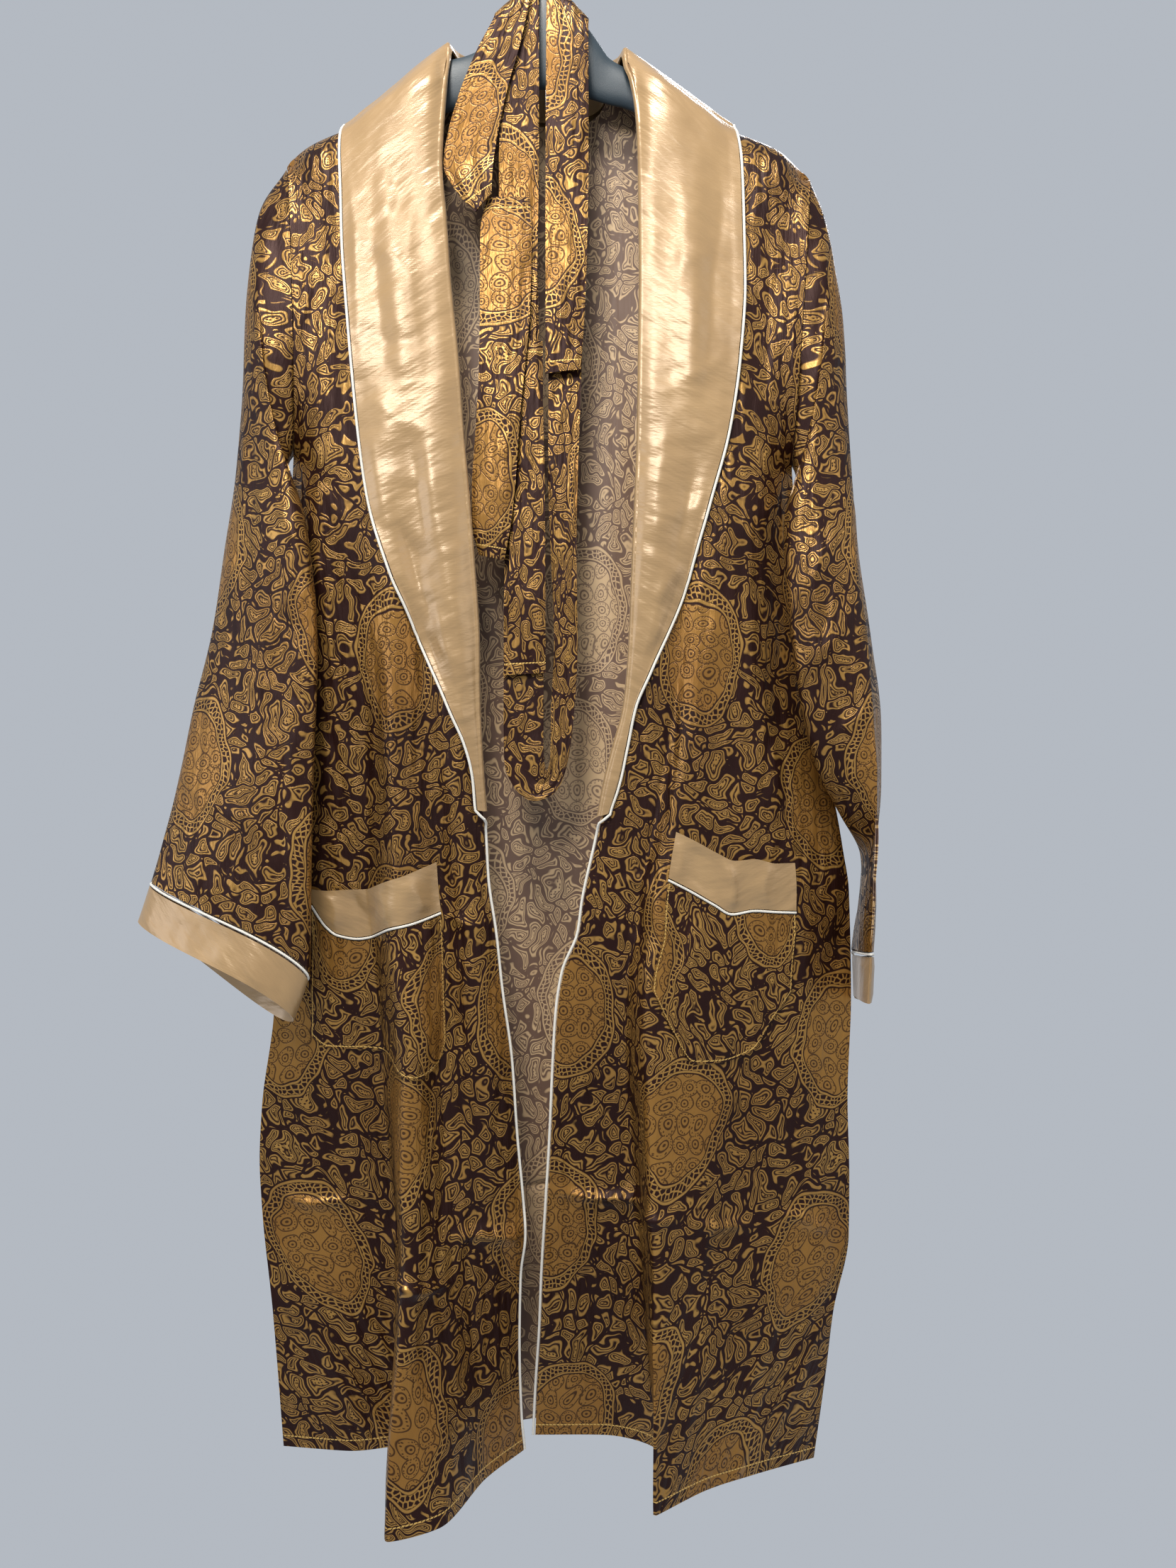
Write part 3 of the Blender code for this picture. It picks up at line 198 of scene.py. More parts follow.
def round_cord(points, radius, sides, closed=False):
    """A round wire or cord along points in millimetres, with a UV of metres round it and along it."""
    points = np.asarray(points, float)
    if closed:
        along = np.roll(points, -1, axis=0) - np.roll(points, 1, axis=0)
    else:
        along = np.gradient(points, axis=0)
    along /= np.linalg.norm(along, axis=1, keepdims=True)
    reach = np.concatenate([[0], np.cumsum(np.linalg.norm(np.diff(points, axis=0), axis=1))])
    guide = np.cross(along[0], (0.3, 0.9, 0.2))
    bm = bmesh.new()
    cloth = bm.loops.layers.uv.new("cloth")
    rings = []
    for point, direction in zip(points, along):
        guide = guide - direction * guide.dot(direction)
        guide /= np.linalg.norm(guide)
        third = np.cross(direction, guide)
        turns = [2 * math.pi * k / sides for k in range(sides)]
        rings.append([bm.verts.new((point + radius * (math.cos(a) * guide + math.sin(a) * third)) * MM)
                      for a in turns])
    pairs = list(range(len(rings) - 1)) + ([len(rings) - 1] if closed else [])
    for i in pairs:
        first, second = rings[i], rings[(i + 1) % len(rings)]
        ends = (reach[i], reach[i + 1] if i + 1 < len(reach) else reach[i] + 1)
        for k in range(sides):
            m = (k + 1) % sides
            face = bm.faces.new((first[k], first[m], second[m], second[k]))
            girth = 2 * math.pi * radius / sides * MM
            places = ((k, ends[0]), (k + 1, ends[0]), (k + 1, ends[1]), (k, ends[1]))
            for corner, (a, b) in zip(face.loops, places):
                corner[cloth].uv = (a * girth, b * MM)
    if not closed:
        bm.faces.new(rings[0])
        bm.faces.new(rings[-1])
    return bm


bend = [((HOOK_INNER + HOOK_WIRE) * math.cos(a), 0, -HOOK_INNER + (HOOK_INNER + HOOK_WIRE) * math.sin(a))
        for a in np.radians(np.arange(200, -41, -4))]
shank = [(7.5, 0, -41.5), (4.4, 0, -44.6), (1.8, 0, -47.5), (0.5, 0, -50.6), (0, 0, -54), (0, 0, -60),
         (0, 0, -67.7)]
hook = place_mesh("hanger_wire", round_cord(bend + shank, HOOK_WIRE, 20), [plated_steel])
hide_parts("hanger_hook")


# The fronts and the back are cut from polyester satin jacquard: a dark warp-faced ground with a figure of
# glossy gold weft. They are seamed at the shoulders, armholes and sides, and their hems are topstitched.

CLOTH_LIFT = 0.35
CLOTH_THICK = 0.9
SEAM_GAP = 0.35
RIGHT, LEFT = -1, 1

# The oval armhole: tip x, tip drop, pit x, pit drop, inset, swell to the front, swell to the back
ARMHOLE = {RIGHT: (223.0, 228.0, 217.0, 474.0, 9.0, 29.0, 31.0),
           LEFT: (229.8, 239.0, 214.0, 484.8, 3.0, 29.0, 31.0)}
# Below the armpit: drop, distance of the side seam from the middle
SIDE_SEAM = {
    RIGHT: [(474, 217), (600, 222), (800, 229), (957, 234), (1040, 244.5), (1085, 246.5), (1125, 244.5),
            (1217, 235), (1335, 225.5)],
    LEFT: [(484.8, 214), (600, 222), (700, 232), (757, 247), (790, 254), (820, 259), (850, 263.5),
           (944, 265.5), (1032, 262.5), (1100, 264), (1150, 263.5), (1217, 250), (1266, 244), (1345, 233)]}
# The shoulder seam: distance from the middle, drop
SHOULDER = {RIGHT: [(83.6, 131), (103, 146.5), (134, 171), (171, 196), (195, 206), (214, 218), (223, 228)],
            LEFT: [(70, 137), (100, 155.5), (130, 176), (160, 196), (179, 204), (198, 211.5), (222, 231),
                   (229.8, 239)]}
# The free edge, which is the roll of the collar down to its break: drop, x, depth towards the viewer
FRONT_EDGE = {
    RIGHT: [(131, -83.6, 0), (149, -84.6, 13), (203, -88.2, 22), (230, -89.4, 25), (279, -86, 28),
            (341, -80.7, 30), (400, -74.8, 30), (459, -70, 30), (578, -61, 28), (640, -57, 27),
            (697, -56, 26),
            (760, -53.5, 25), (793, -51, 24), (840, -48.6, 22), (887, -42, 21), (934, -37, 20),
            (993, -29, 19),
            (1058, -24.5, 18), (1118, -19, 18), (1142, -17.3, 21), (1178, -21.5, 17), (1238, -22.7, 15),
            (1299, -21, 14), (1332, -18, 12)],
    LEFT: [(137, 70, 0), (149, 74.6, 12), (177, 80.4, 18), (203, 83.4, 22), (248, 84.1, 27),
           (310, 84.5, 29),
           (399, 83.8, 30), (464, 82.6, 30), (530, 80.3, 30), (596, 77.3, 29), (661, 73.9, 27),
           (694, 71, 25),
           (732, 62, 23), (760, 54.5, 21), (798, 48, 19), (860, 34.5, 17), (887, 30.8, 16), (920, 17.5, 15),
           (954, 12.1, 14), (994, 9.6, 14), (1061, 6.6, 13), (1121, 3, 12), (1180, -0.6, 8),
           (1228, -2.5, 4),
           (1282, -6, -3), (1328, -8.2, -7)]}
# Folds of the fronts, from the side seam, step 0, to the free edge, step 1. At five landmarks, for each
# drop: the share of the way across, and the depth towards the viewer.
FRONT_STEPS = (0.0, 0.20, 0.40, 0.56, 0.70, 0.85, 1.0)
FRONT_FOLDS = {
    RIGHT: [(230, .20, 20, .40, 22, .56, 23, .70, 24, .85, 24),
            (400, .20, 27, .40, 33, .56, 31, .70, 33, .85, 30),
            (550, .20, 21, .40, 27, .58, 37, .72, 27, .86, 33),
            (700, .20, 16, .42, 20, .60, 41, .75, 25, .88, 34),
            (850, .20, 12, .44, 16, .61, 47, .79, 24, .90, 33),
            (1000, .20, 8, .47, 8, .62, 62, .76, 32, .88, 36),
            (1150, .22, 5, .50, 2, .61, 86, .74, 54, .88, 34),
            (1335, .27, 4, .47, -8, .53, 120, .71, 107, .86, 48)],
    LEFT: [(230, .20, 20, .40, 22, .56, 23, .70, 24, .85, 24),
           (400, .20, 27, .40, 32, .56, 30, .70, 33, .85, 29),
           (550, .20, 20, .38, 30, .58, 33, .72, 27, .86, 31),
           (700, .20, 17, .38, 31, .64, 36, .76, 25, .88, 27),
           (850, .20, 19, .38, 30, .70, 42, .80, 22, .90, 21),
           (1000, .20, 21, .40, 33, .68, 54, .76, 17, .88, 12),
           (1150, .22, 25, .42, 42, .65, 71, .69, 16, .85, 4),
           (1335, .24, 31, .42, 60, .594, 96, .553, 16, .75, -9)]}
# Drop of the hem at the seven steps across
FRONT_HEM = {RIGHT: (1333, 1335, 1338, 1339, 1337, 1333, 1330),
             LEFT: (1343, 1340, 1336, 1334, 1331, 1328, 1327)}
# Folds of the back, from the right side seam to the left one: drop, then the depth behind at seven steps
BACK_STEPS = (0.0, 0.10, 0.22, 0.36, 0.50, 0.64, 0.78, 0.90, 1.0)
BACK_FOLDS = [(200, 20, 24, 27, 32, 27, 24, 20), (330, 28, 32, 33, 33, 33, 32, 28),
              (500, 22, 32, 31, 35, 31, 33, 21),
              (750, 19, 36, 29, 37, 29, 37, 19), (1000, 17, 42, 28, 38, 29, 44, 18),
              (1340, 14, 54, 27, 41, 28, 57, 15)]
BACK_HEM = 1331
# The back's neck from the centre to the shoulder point: x, drop, depth
BACK_NECK = [(0, 173.5, 31), (34, 170.5, 29.5), (56, 161, 26), (68, 147, 17), (83.6, 131, 0)]
SHOULDER_ROUND = 36.0
FRONT_COLUMNS = 122
BACK_COLUMNS = 148

# Creases left by folding the gown away, and small pulls beside seams. Each runs from (x, drop) to (x, drop),
# with its width and its height, which is negative for a trough.
FRONT_CREASES = {
    RIGHT: [(-76, 1134, -12, 1142, 5.5, 7.0), (-224, 1117, -160, 1121, 5.0, 5.0),
            (-138, 1150, -70, 1171, 5.2, 4.8),
            (-170, 1124, -120, 1133, 7, -1.6), (-100, 1131, -70, 1133, 5, 1.5),
            (-88, 872, -44, 880, 6, 2.2),
            (-205, 905, -190, 960, 8, 1.8), (-120, 905, -104, 985, 7, 2.0),
            (-150, 560, -118, 900, 15, -2.2),
            (-214, 330, -196, 450, 9, 1.8), (-206, 470, -176, 640, 12, 1.5),
            (-196, 640, -184, 860, 12, 1.6),
            (-214, 480, -150, 530, 8, -1.5), (-168, 990, -150, 1120, 10, 1.4),
            (-196, 1180, -182, 1330, 12, 1.7),
            (-226, 1000, -205, 1110, 9, -1.4), (-60, 980, -48, 1110, 8, 1.3),
            (-44, 1180, -38, 1320, 8, 1.4),
            (-226, 1230, -150, 1246, 6, 1.0), (-180, 1020, -140, 1034, 7, 1.2)],
    LEFT: [(2, 1109, 110, 1117, 5.5, 7.0), (122, 1120, 175, 1133, 5.2, 5.0),
           (200, 1121, 245, 1142, 5.2, 5.0),
           (106, 1118, 124, 1124, 6, -1.5), (30, 1124, 80, 1129, 7, -1.3), (62, 845, 96, 840, 5, 2.0),
           (52, 870, 92, 905, 7, 1.6), (214, 860, 226, 930, 8, 1.6), (116, 890, 128, 980, 8, 1.8),
           (150, 500, 132, 760, 14, 1.9), (192, 500, 206, 740, 12, -1.8), (210, 320, 198, 452, 9, 1.6),
           (212, 490, 160, 560, 9, 1.5), (92, 760, 84, 1000, 12, 1.6), (44, 960, 36, 1100, 9, -1.3),
           (190, 1010, 200, 1110, 10, 1.4), (228, 1160, 216, 1330, 11, 1.6), (34, 1150, 24, 1310, 9, 1.4),
           (150, 1020, 206, 1032, 6, 1.1), (60, 1215, 120, 1224, 6, 0.9)]}
BACK_CREASES = [(-210, 1116, -60, 1124, 3.6, 3.4), (-40, 1121, 84, 1117, 3.6, 3.6),
                (104, 1118, 232, 1131, 3.6, 3.0),
                (-190, 792, -20, 799, 6, 1.8), (24, 801, 196, 792, 6, 2.0), (-150, 420, -136, 760, 15, 1.8),
                (-60, 300, -52, 700, 18, -1.6), (74, 340, 88, 760, 16, 1.7), (150, 420, 166, 780, 14, -1.5),
                (-204, 480, -140, 560, 10, 1.6), (208, 490, 150, 580, 10, 1.7),
                (-168, 860, -176, 1100, 13, 1.5),
                (-20, 830, -14, 1090, 15, 1.4), (120, 850, 128, 1100, 13, -1.5),
                (-110, 1150, -118, 1325, 12, 1.6),
                (40, 1150, 46, 1325, 12, 1.5), (190, 1160, 184, 1330, 11, 1.4),
                (-90, 470, -30, 482, 6, 1.3),
                (40, 640, 120, 652, 7, 1.3), (0, 180, 3, 420, 7, 1.2)]


def column(rows, number, at):
    return through([row[0] for row in rows], [row[number] for row in rows], at)


def rounding(below_seam):
    """How far the cloth has come round the hanger, 0 on the shoulder seam, 1 where it hangs."""
    left_to_go = 1 - np.clip(below_seam / SHOULDER_ROUND, 0, 1)
    return np.sqrt(1 - left_to_go ** 2)


def outer_edge(side, drop, swell_to):
    """A panel's edge at each drop, armhole and then side seam: distance from the middle, and depth."""
    tip_x, tip_drop, pit_x, pit_drop, inset = ARMHOLE[side][:5]
    q = np.clip((drop - tip_drop) / (pit_drop - tip_drop), 0, 1)
    swell = 2 * np.sqrt(q * (1 - q))
    x = np.where(drop < pit_drop, tip_x + (pit_x - tip_x) * q - inset * swell,
                 column(SIDE_SEAM[side], 1, drop))
    return x, ARMHOLE[side][swell_to] * swell


def front_places(side, step, drop):
    """Places on the inside of a front: x and depth for each step across and drop."""
    side_x, side_depth = outer_edge(side, drop, 5)
    edge_x = column(FRONT_EDGE[side], 1, drop)
    folds = [column(FRONT_FOLDS[side], k, drop) for k in range(1, 11)]
    shares = np.stack([0 * drop] + folds[0::2] + [1 + 0 * drop])
    depths = np.stack([side_depth] + folds[1::2] + [column(FRONT_EDGE[side], 2, drop)])
    share = through(FRONT_STEPS, shares, step)
    return side * side_x + (edge_x - side * side_x) * share, through(FRONT_STEPS, depths, step)


# Falls from the shoulder, 0, to the hem, 1, closest together where the cloth rounds the hanger
LANDMARK_FALLS = [row / 1105 for row in (0, 5, 14, 32, 62, 100, 140, 176, 206, 225, 236, 243, 246)]
LANDMARK_FALLS += list(np.linspace(246 / 1105, 1, 18)[1:])
FALLS = np.interp(np.linspace(0, 29, 240), np.arange(30), LANDMARK_FALLS)
# Rows lie closer together at the pockets' level and where the storage creases run
FALLS = np.unique(np.concatenate([FALLS, np.linspace(0.58, 0.62, 18), np.linspace(0.785, 0.855, 46)]))


def front_grid(side):
    """The inside of a front, rows by columns, with its place on the flat cloth measured up from the hem."""
    step, fall = np.meshgrid(np.linspace(0, 1, FRONT_COLUMNS), FALLS)
    shape, step, fall = step.shape, step.ravel(), fall.ravel()
    tip_x = side * ARMHOLE[side][0]
    top_x = tip_x + (FRONT_EDGE[side][0][1] - tip_x) * step
    top = column(SHOULDER[side], 1, abs(top_x))
    hem = through(FRONT_STEPS, FRONT_HEM[side], step)
    drop = top + (hem - top) * fall
    x, depth = front_places(side, step, drop)
    at_edge = np.maximum(np.clip((step - 0.944) / 0.056, 0, 1), np.clip((0.056 - step) / 0.056, 0, 1))
    depth *= at_edge + (1 - at_edge) * rounding(drop - column(SHOULDER[side], 1, abs(x)))
    grid = np.stack([x, -depth - SEAM_GAP / 2, -drop], axis=-1).reshape(*shape, 3)
    across = np.linalg.norm(np.diff(grid, axis=1), axis=2)
    from_edge = np.cumsum(across[:, ::-1], axis=1)[:, ::-1]
    from_edge = np.hstack([from_edge, np.zeros((shape[0], 1))]) + abs(grid[:, -1:, 0])
    flat = np.stack([from_edge, (hem - drop).reshape(shape)], axis=-1)
    return grid, flat


def back_grid():
    """The inside of the back, rows by columns from right to left, with its place on the cloth."""
    step, fall = np.meshgrid(np.linspace(0, 1, BACK_COLUMNS), FALLS)
    shape, step, fall = step.shape, step.ravel(), fall.ravel()
    right, left = ARMHOLE[RIGHT][0], ARMHOLE[LEFT][0]
    top_x = -right + (right + left) * step
    neck_end = np.where(top_x < 0, SHOULDER[RIGHT][0][0], SHOULDER[LEFT][0][0])
    neck_drop = np.where(top_x < 0, SHOULDER[RIGHT][0][1], SHOULDER[LEFT][0][1])
    share = np.clip(abs(top_x) / neck_end, 0, 1)
    shoulder = np.where(top_x < 0, column(SHOULDER[RIGHT], 1, abs(top_x)),
                        column(SHOULDER[LEFT], 1, abs(top_x)))
    neck = column(BACK_NECK, 1, share * 83.6) * (1 + (neck_drop / 131 - 1) * share)
    top = np.where(share < 1, neck, shoulder)
    top_depth = np.where(share < 1, column(BACK_NECK, 2, share * 83.6), 0)
    hem = BACK_HEM + (FRONT_HEM[RIGHT][0] - BACK_HEM) * np.clip(1 - step / 0.1, 0, 1)
    hem += (FRONT_HEM[LEFT][0] - BACK_HEM) * np.clip(1 - (1 - step) / 0.1, 0, 1)
    drop = top + (hem - top) * fall
    right_x, right_depth = outer_edge(RIGHT, drop, 6)
    left_x, left_depth = outer_edge(LEFT, drop, 6)
    depths = np.stack([right_depth] + [column(BACK_FOLDS, k, drop) for k in range(1, 8)] + [left_depth])
    depth = through(BACK_STEPS, depths, step)
    at_edge = np.maximum(np.clip((step - 0.965) / 0.035, 0, 1), np.clip((0.035 - step) / 0.035, 0, 1))
    depth = top_depth + (depth - top_depth) * (at_edge + (1 - at_edge) * rounding(drop - top))
    x = -right_x + (left_x + right_x) * step
    grid = np.stack([x, depth + SEAM_GAP / 2, -drop], axis=-1).reshape(*shape, 3)
    across = np.cumsum(np.linalg.norm(np.diff(grid, axis=1), axis=2), axis=1)
    across = np.hstack([np.zeros((shape[0], 1)), across])
    centre = BACK_COLUMNS // 2
    flat = np.stack([across - across[:, centre:centre + 1], (hem - drop).reshape(shape)], axis=-1)
    return grid, flat


def face_out(grid, closed=False, flip=False, square=()):
    """Unit normals of a grid; at a square edge, a seam with another piece, they have no part along x."""
    down = np.gradient(grid, axis=0)
    if closed:
        across = (np.roll(grid, -1, axis=1) - np.roll(grid, 1, axis=1)) / 2
    else:
        across = np.gradient(grid, axis=1)
    out = np.cross(down, across) * (-1 if flip else 1)
    for edge in square:
        out[edge][..., 0] = 0
    return out / np.maximum(np.linalg.norm(out, axis=2, keepdims=True), 1e-9)


# Ripples across and down the cloth, small ones and broad ones three times as high
SMALL_RIPPLE = (16, 75)
BROAD_RIPPLE = (42, 150)
CALM_EDGE = 5


def crease(grid, out, creases, behind=False, ripple=0.5):
    """Move a grid's points by the listed creases and a slight ripple that dies out at its edges."""
    rows, columns = grid.shape[:2]
    facing = np.clip(out[..., 1] * (2.5 if behind else -2.5), 0, 1)
    height = np.zeros((rows, columns))
    for x1, drop1, x2, drop2, width, rise in creases:
        along = np.array([x2 - x1, drop2 - drop1], float)
        length = np.linalg.norm(along)
        along /= length
        x, drop = grid[..., 0] - x1, -grid[..., 2] - drop1
        t = (x * along[0] + drop * along[1]) / length
        wander = 0.35 * width * np.sin(7 * t + x1)
        off = abs(drop * along[0] - x * along[1] + wander) / width
        height += rise * np.exp(-off ** 1.4) * np.sin(math.pi * np.clip(t, 0, 1)) ** 0.7
    height *= facing
    if ripple:
        for i in range(rows):
            for j in range(columns):
                x, y, z = grid[i, j]
                wide, tall = SMALL_RIPPLE
                height[i, j] += ripple * noise.noise((x / wide, y / wide, z / tall))
                wide, tall = BROAD_RIPPLE
                height[i, j] += 3 * ripple * noise.noise((x / wide, y / wide, z / tall + 9))
    i, j = np.meshgrid(np.arange(rows), np.arange(columns), indexing="ij")
    fade = np.clip(np.minimum.reduce([i, rows - 1 - i, j, columns - 1 - j]) / CALM_EDGE, 0, 1)
    return grid + out * (height * fade)[..., None]


OUTSIDE = {}
NO_STITCH = 9.0


def cloth_wall(name, grid, out, lift, thick, finishes, flat, from_edge=None, closed=False):
    """A thin shell from a grid outwards. The UV map cloth is the place on the flat cloth in metres, and
    stitch is the distance along and from the nearest topstitched edge."""
    rows, columns = grid.shape[:2]
    inside, outside = (grid + out * lift) * MM, (grid + out * (lift + thick)) * MM
    if from_edge is None:
        from_edge = np.full(flat.shape[:2], NO_STITCH / MM)
    last = columns if closed else columns - 1
    i, j = np.meshgrid(np.arange(rows - 1), np.arange(last), indexing="ij")
    i, j = i.ravel(), j.ravel()
    corners = np.stack([np.stack([i, j], 1), np.stack([i + 1, j], 1), np.stack([i + 1, j + 1], 1),
                        np.stack([i, j + 1], 1)], axis=1)
    a, b, c = (outside[corners[0, k, 0], corners[0, k, 1] % columns] for k in range(3))
    if np.dot(np.cross(b - a, c - a), out[corners[0, 0, 0], corners[0, 0, 1]]) < 0:
        corners = corners[:, ::-1]
    size = rows * columns
    number = corners[..., 0] * columns + corners[..., 1] % columns
    faces = [tuple(f) for f in (number + size).tolist()] + [tuple(f) for f in number[:, ::-1].tolist()]
    places = np.concatenate([corners, corners[:, ::-1]])
    rim = [(r, k, r, k + 1) for r in (0, rows - 1) for k in range(last)]
    if not closed:
        rim += [(k, c, k + 1, c) for c in (0, columns - 1) for k in range(rows - 1)]
    rim_places = []
    for r1, c1, r2, c2 in rim:
        one, two = r1 * columns + c1 % columns, r2 * columns + c2 % columns
        faces.append((one, two, two + size, one + size))
        rim_places.append([(r1, c1), (r2, c2), (r2, c2), (r1, c1)])
    places = np.concatenate([places, np.array(rim_places)])
    mesh = bpy.data.meshes.new(name)
    mesh.from_pydata(np.concatenate([inside.reshape(-1, 3), outside.reshape(-1, 3)]).tolist(), [], faces)
    for label, table in (("cloth", flat * MM),
                         ("stitch", np.stack([flat[..., 0] + flat[..., 1], from_edge], axis=-1) * MM)):
        layer = mesh.uv_layers.new(name=label)
        layer.data.foreach_set("uv", table[places[..., 0].ravel(), places[..., 1].ravel()].ravel())
    which = np.zeros(len(faces), dtype=np.int32)
    if len(finishes) > 1:
        which[len(number):2 * len(number)] = 1
    for finish in finishes:
        mesh.materials.append(finish)
    mesh.polygons.foreach_set("material_index", which)
    bm = bmesh.new()
    bm.from_mesh(mesh)
    bmesh.ops.recalc_face_normals(bm, faces=bm.faces)
    bm.to_mesh(mesh)
    bm.free()
    mesh.shade_smooth()
    mesh.set_sharp_from_angle(angle=math.radians(60))
    made = bpy.data.objects.new(name, mesh)
    bpy.context.scene.collection.objects.link(made)
    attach(made, "root")
    quads = [tuple(f) for f in number.tolist()]
    OUTSIDE[name] = BVHTree.FromPolygons([tuple(p) for p in outside.reshape(-1, 3)], quads)
    return made


def woven_figure(tree):
    """The jacquard's figure, worked out in millimetres: packed paisleys, and egg-shaped medallions about
    83 by 120 mm in a half-drop repeat of 125 by 185 mm. Gives the figure, the medallions' field, and mm."""
    def do(operation, a, b=0.0, c=0.0):
        return add(tree, "Math", {0: a, 1: b, 2: c}, operation=operation)

    def between(value, low, high, soft=0.25):
        """1 where the value is from low to high, with soft ends."""
        up = add(tree, "MapRange", {"Value": value, "From Min": low - soft, "From Max": low + soft})
        down = add(tree, "MapRange", {"Value": value, "From Min": high - soft, "From Max": high + soft,
                                      "To Min": 1.0, "To Max": 0.0})
        return do("MULTIPLY", up, down)

    metres = add(tree, "UVMap", {}, uv_map="cloth")
    mm = add(tree, "VectorMath", {0: metres, "Scale": 1000.0}, operation="SCALE")
    sway = add(tree, "TexNoise", {"Vector": mm, "Scale": 0.027, "Detail": 1.0}, out="Color",
               noise_dimensions="2D")
    sway = add(tree, "VectorMath", {0: sway, 1: (0.5, 0.5, 0.5)}, operation="SUBTRACT")
    far = add(tree, "VectorMath", {0: sway, "Scale": 34.0}, operation="SCALE")
    near = add(tree, "VectorMath", {0: sway, "Scale": 17.0}, operation="SCALE")
    wavy = add(tree, "TexNoise", {"Vector": mm, "Scale": 0.085, "Detail": 0.0}, out="Color",
               noise_dimensions="2D")
    wavy = add(tree, "VectorMath", {0: wavy, 1: (0.5, 0.5, 0.5)}, operation="SUBTRACT")
    wavy = add(tree, "VectorMath", {0: wavy, "Scale": 8.0}, operation="SCALE")
    warped = add(tree, "VectorMath", {0: mm, 1: far}, operation="ADD")
    warped = add(tree, "VectorMath", {0: warped, 1: wavy}, operation="ADD")
    drawn = add(tree, "VectorMath", {0: mm, 1: near}, operation="ADD")

    # Paisleys: patches of about 46 mm turn the beans, which are about 12 by 24 mm, this way and that
    patch_turn = add(tree, "TexVoronoi", {"Vector": warped, "Scale": 0.0215}, out="Color",
                     voronoi_dimensions="2D")
    patch_edge = add(tree, "TexVoronoi", {"Vector": warped, "Scale": 0.0215}, voronoi_dimensions="2D",
                     feature="DISTANCE_TO_EDGE")
    turn = add(tree, "SeparateXYZ", {0: patch_turn})
    turned = add(tree, "VectorRotate", {"Vector": warped, "Angle": do("MULTIPLY", turn, 6.0)},
                 rotation_type="Z_AXIS")
    beans = add(tree, "VectorMath", {0: turned, 1: (1 / 12, 1 / 22, 0)}, operation="MULTIPLY")
    bean_edge = add(tree, "TexVoronoi", {"Vector": beans, "Scale": 1.0, "Randomness": 0.55},
                    voronoi_dimensions="2D",
                    feature="DISTANCE_TO_EDGE")
    bean_middle = add(tree, "TexVoronoi", {"Vector": beans, "Scale": 1.0, "Randomness": 0.55},
                      voronoi_dimensions="2D")
    rounded = do("MULTIPLY_ADD", bean_middle, -14.0, 8.4)
    edge = do("MINIMUM", do("MULTIPLY", bean_edge, 15.0), do("MULTIPLY", patch_edge, 46.0))
    edge = do("SMOOTH_MIN", edge, rounded, 3.0)
    seeds = add(tree, "TexVoronoi", {"Vector": warped, "Scale": 0.16, "Randomness": 0.9},
                voronoi_dimensions="2D")
    seeds = do("MULTIPLY", between(seeds, -1.0, 0.26, 0.05), between(edge, -99.0, -1.0))
    dots = add(tree, "TexVoronoi", {"Vector": drawn, "Scale": 0.42, "Randomness": 0.5},
               voronoi_dimensions="2D")
    dots = between(dots, -1.0, 0.26, 0.08)
    outline = between(edge, 1.2, 2.3)
    inner_line = between(edge, 3.2, 4.1)
    eye = do("MULTIPLY", between(edge, 5.0, 99.0), do("SUBTRACT", 1.0, dots))
    inside = do("MAXIMUM", inner_line, eye)
    paisley = do("MAXIMUM", do("MAXIMUM", outline, inside), seeds)

    # Medallions: a sheared lattice gives the half drop, and each is drawn round its own place
    apart = add(tree, "SeparateXYZ", {0: drawn})
    across = do("MULTIPLY", apart, 1 / 125)
    up = do("MULTIPLY", apart.node.outputs[1], 1 / 185)
    sheared = add(tree, "CombineXYZ", {0: across, 1: do("MULTIPLY_ADD", across, 0.5, up)})
    centre = add(tree, "TexVoronoi", {"Vector": sheared, "Scale": 1.0, "Randomness": 0.3}, out="Position",
                 voronoi_dimensions="2D")
    off = add(tree, "VectorMath", {0: sheared, 1: centre}, operation="SUBTRACT")
    off = add(tree, "SeparateXYZ", {0: off})
    x = do("MULTIPLY", off, 125.0)
    y = do("MULTIPLY", do("MULTIPLY_ADD", off, -0.5, off.node.outputs[1]), 185.0)
    half_width = do("MULTIPLY_ADD", y, 0.14, 42.0)
    round_x = do("POWER", do("DIVIDE", x, half_width), 2.0)
    round_y = do("POWER", do("DIVIDE", y, 59.0), 2.0)
    beyond = do("MULTIPLY", do("SUBTRACT", do("SQRT", do("ADD", round_x, round_y)), 1.0), 48.0)
    holes = add(tree, "TexVoronoi", {"Vector": drawn, "Scale": 0.24, "Randomness": 0.55},
                voronoi_dimensions="2D",
                feature="DISTANCE_TO_EDGE")
    lattice = between(holes, -1.0, 0.13, 0.05)
    band_lines = do("MAXIMUM", between(beyond, -1.6, 0.0), between(beyond, -10.2, -8.9))
    band = do("MAXIMUM", band_lines, do("MULTIPLY", lattice, between(beyond, -8.6, -2.0)))
    rose = add(tree, "TexVoronoi", {"Vector": drawn, "Scale": 0.062, "Randomness": 0.25},
               voronoi_dimensions="2D")
    rose = do("MULTIPLY", rose, 16.1)
    petals = do("MULTIPLY", between(rose, 5.2, 7.2), dots)
    rings = do("MAXIMUM", between(rose, 2.7, 3.9), between(rose, -1.0, 1.1))
    rings = do("MAXIMUM", rings, do("MAXIMUM", petals, between(rose, 7.2, 8.1)))
    field = between(beyond, -99.0, -11.4)
    medallion = do("MAXIMUM", band, do("MULTIPLY", field, do("MULTIPLY_ADD", rings, -0.85, 1.0)))
    outer = between(beyond, 1.2, 999.0)
    figure = do("MAXIMUM", do("MULTIPLY", paisley, outer),
                do("MULTIPLY", medallion, do("SUBTRACT", 1.0, outer)))
    return figure, field, mm


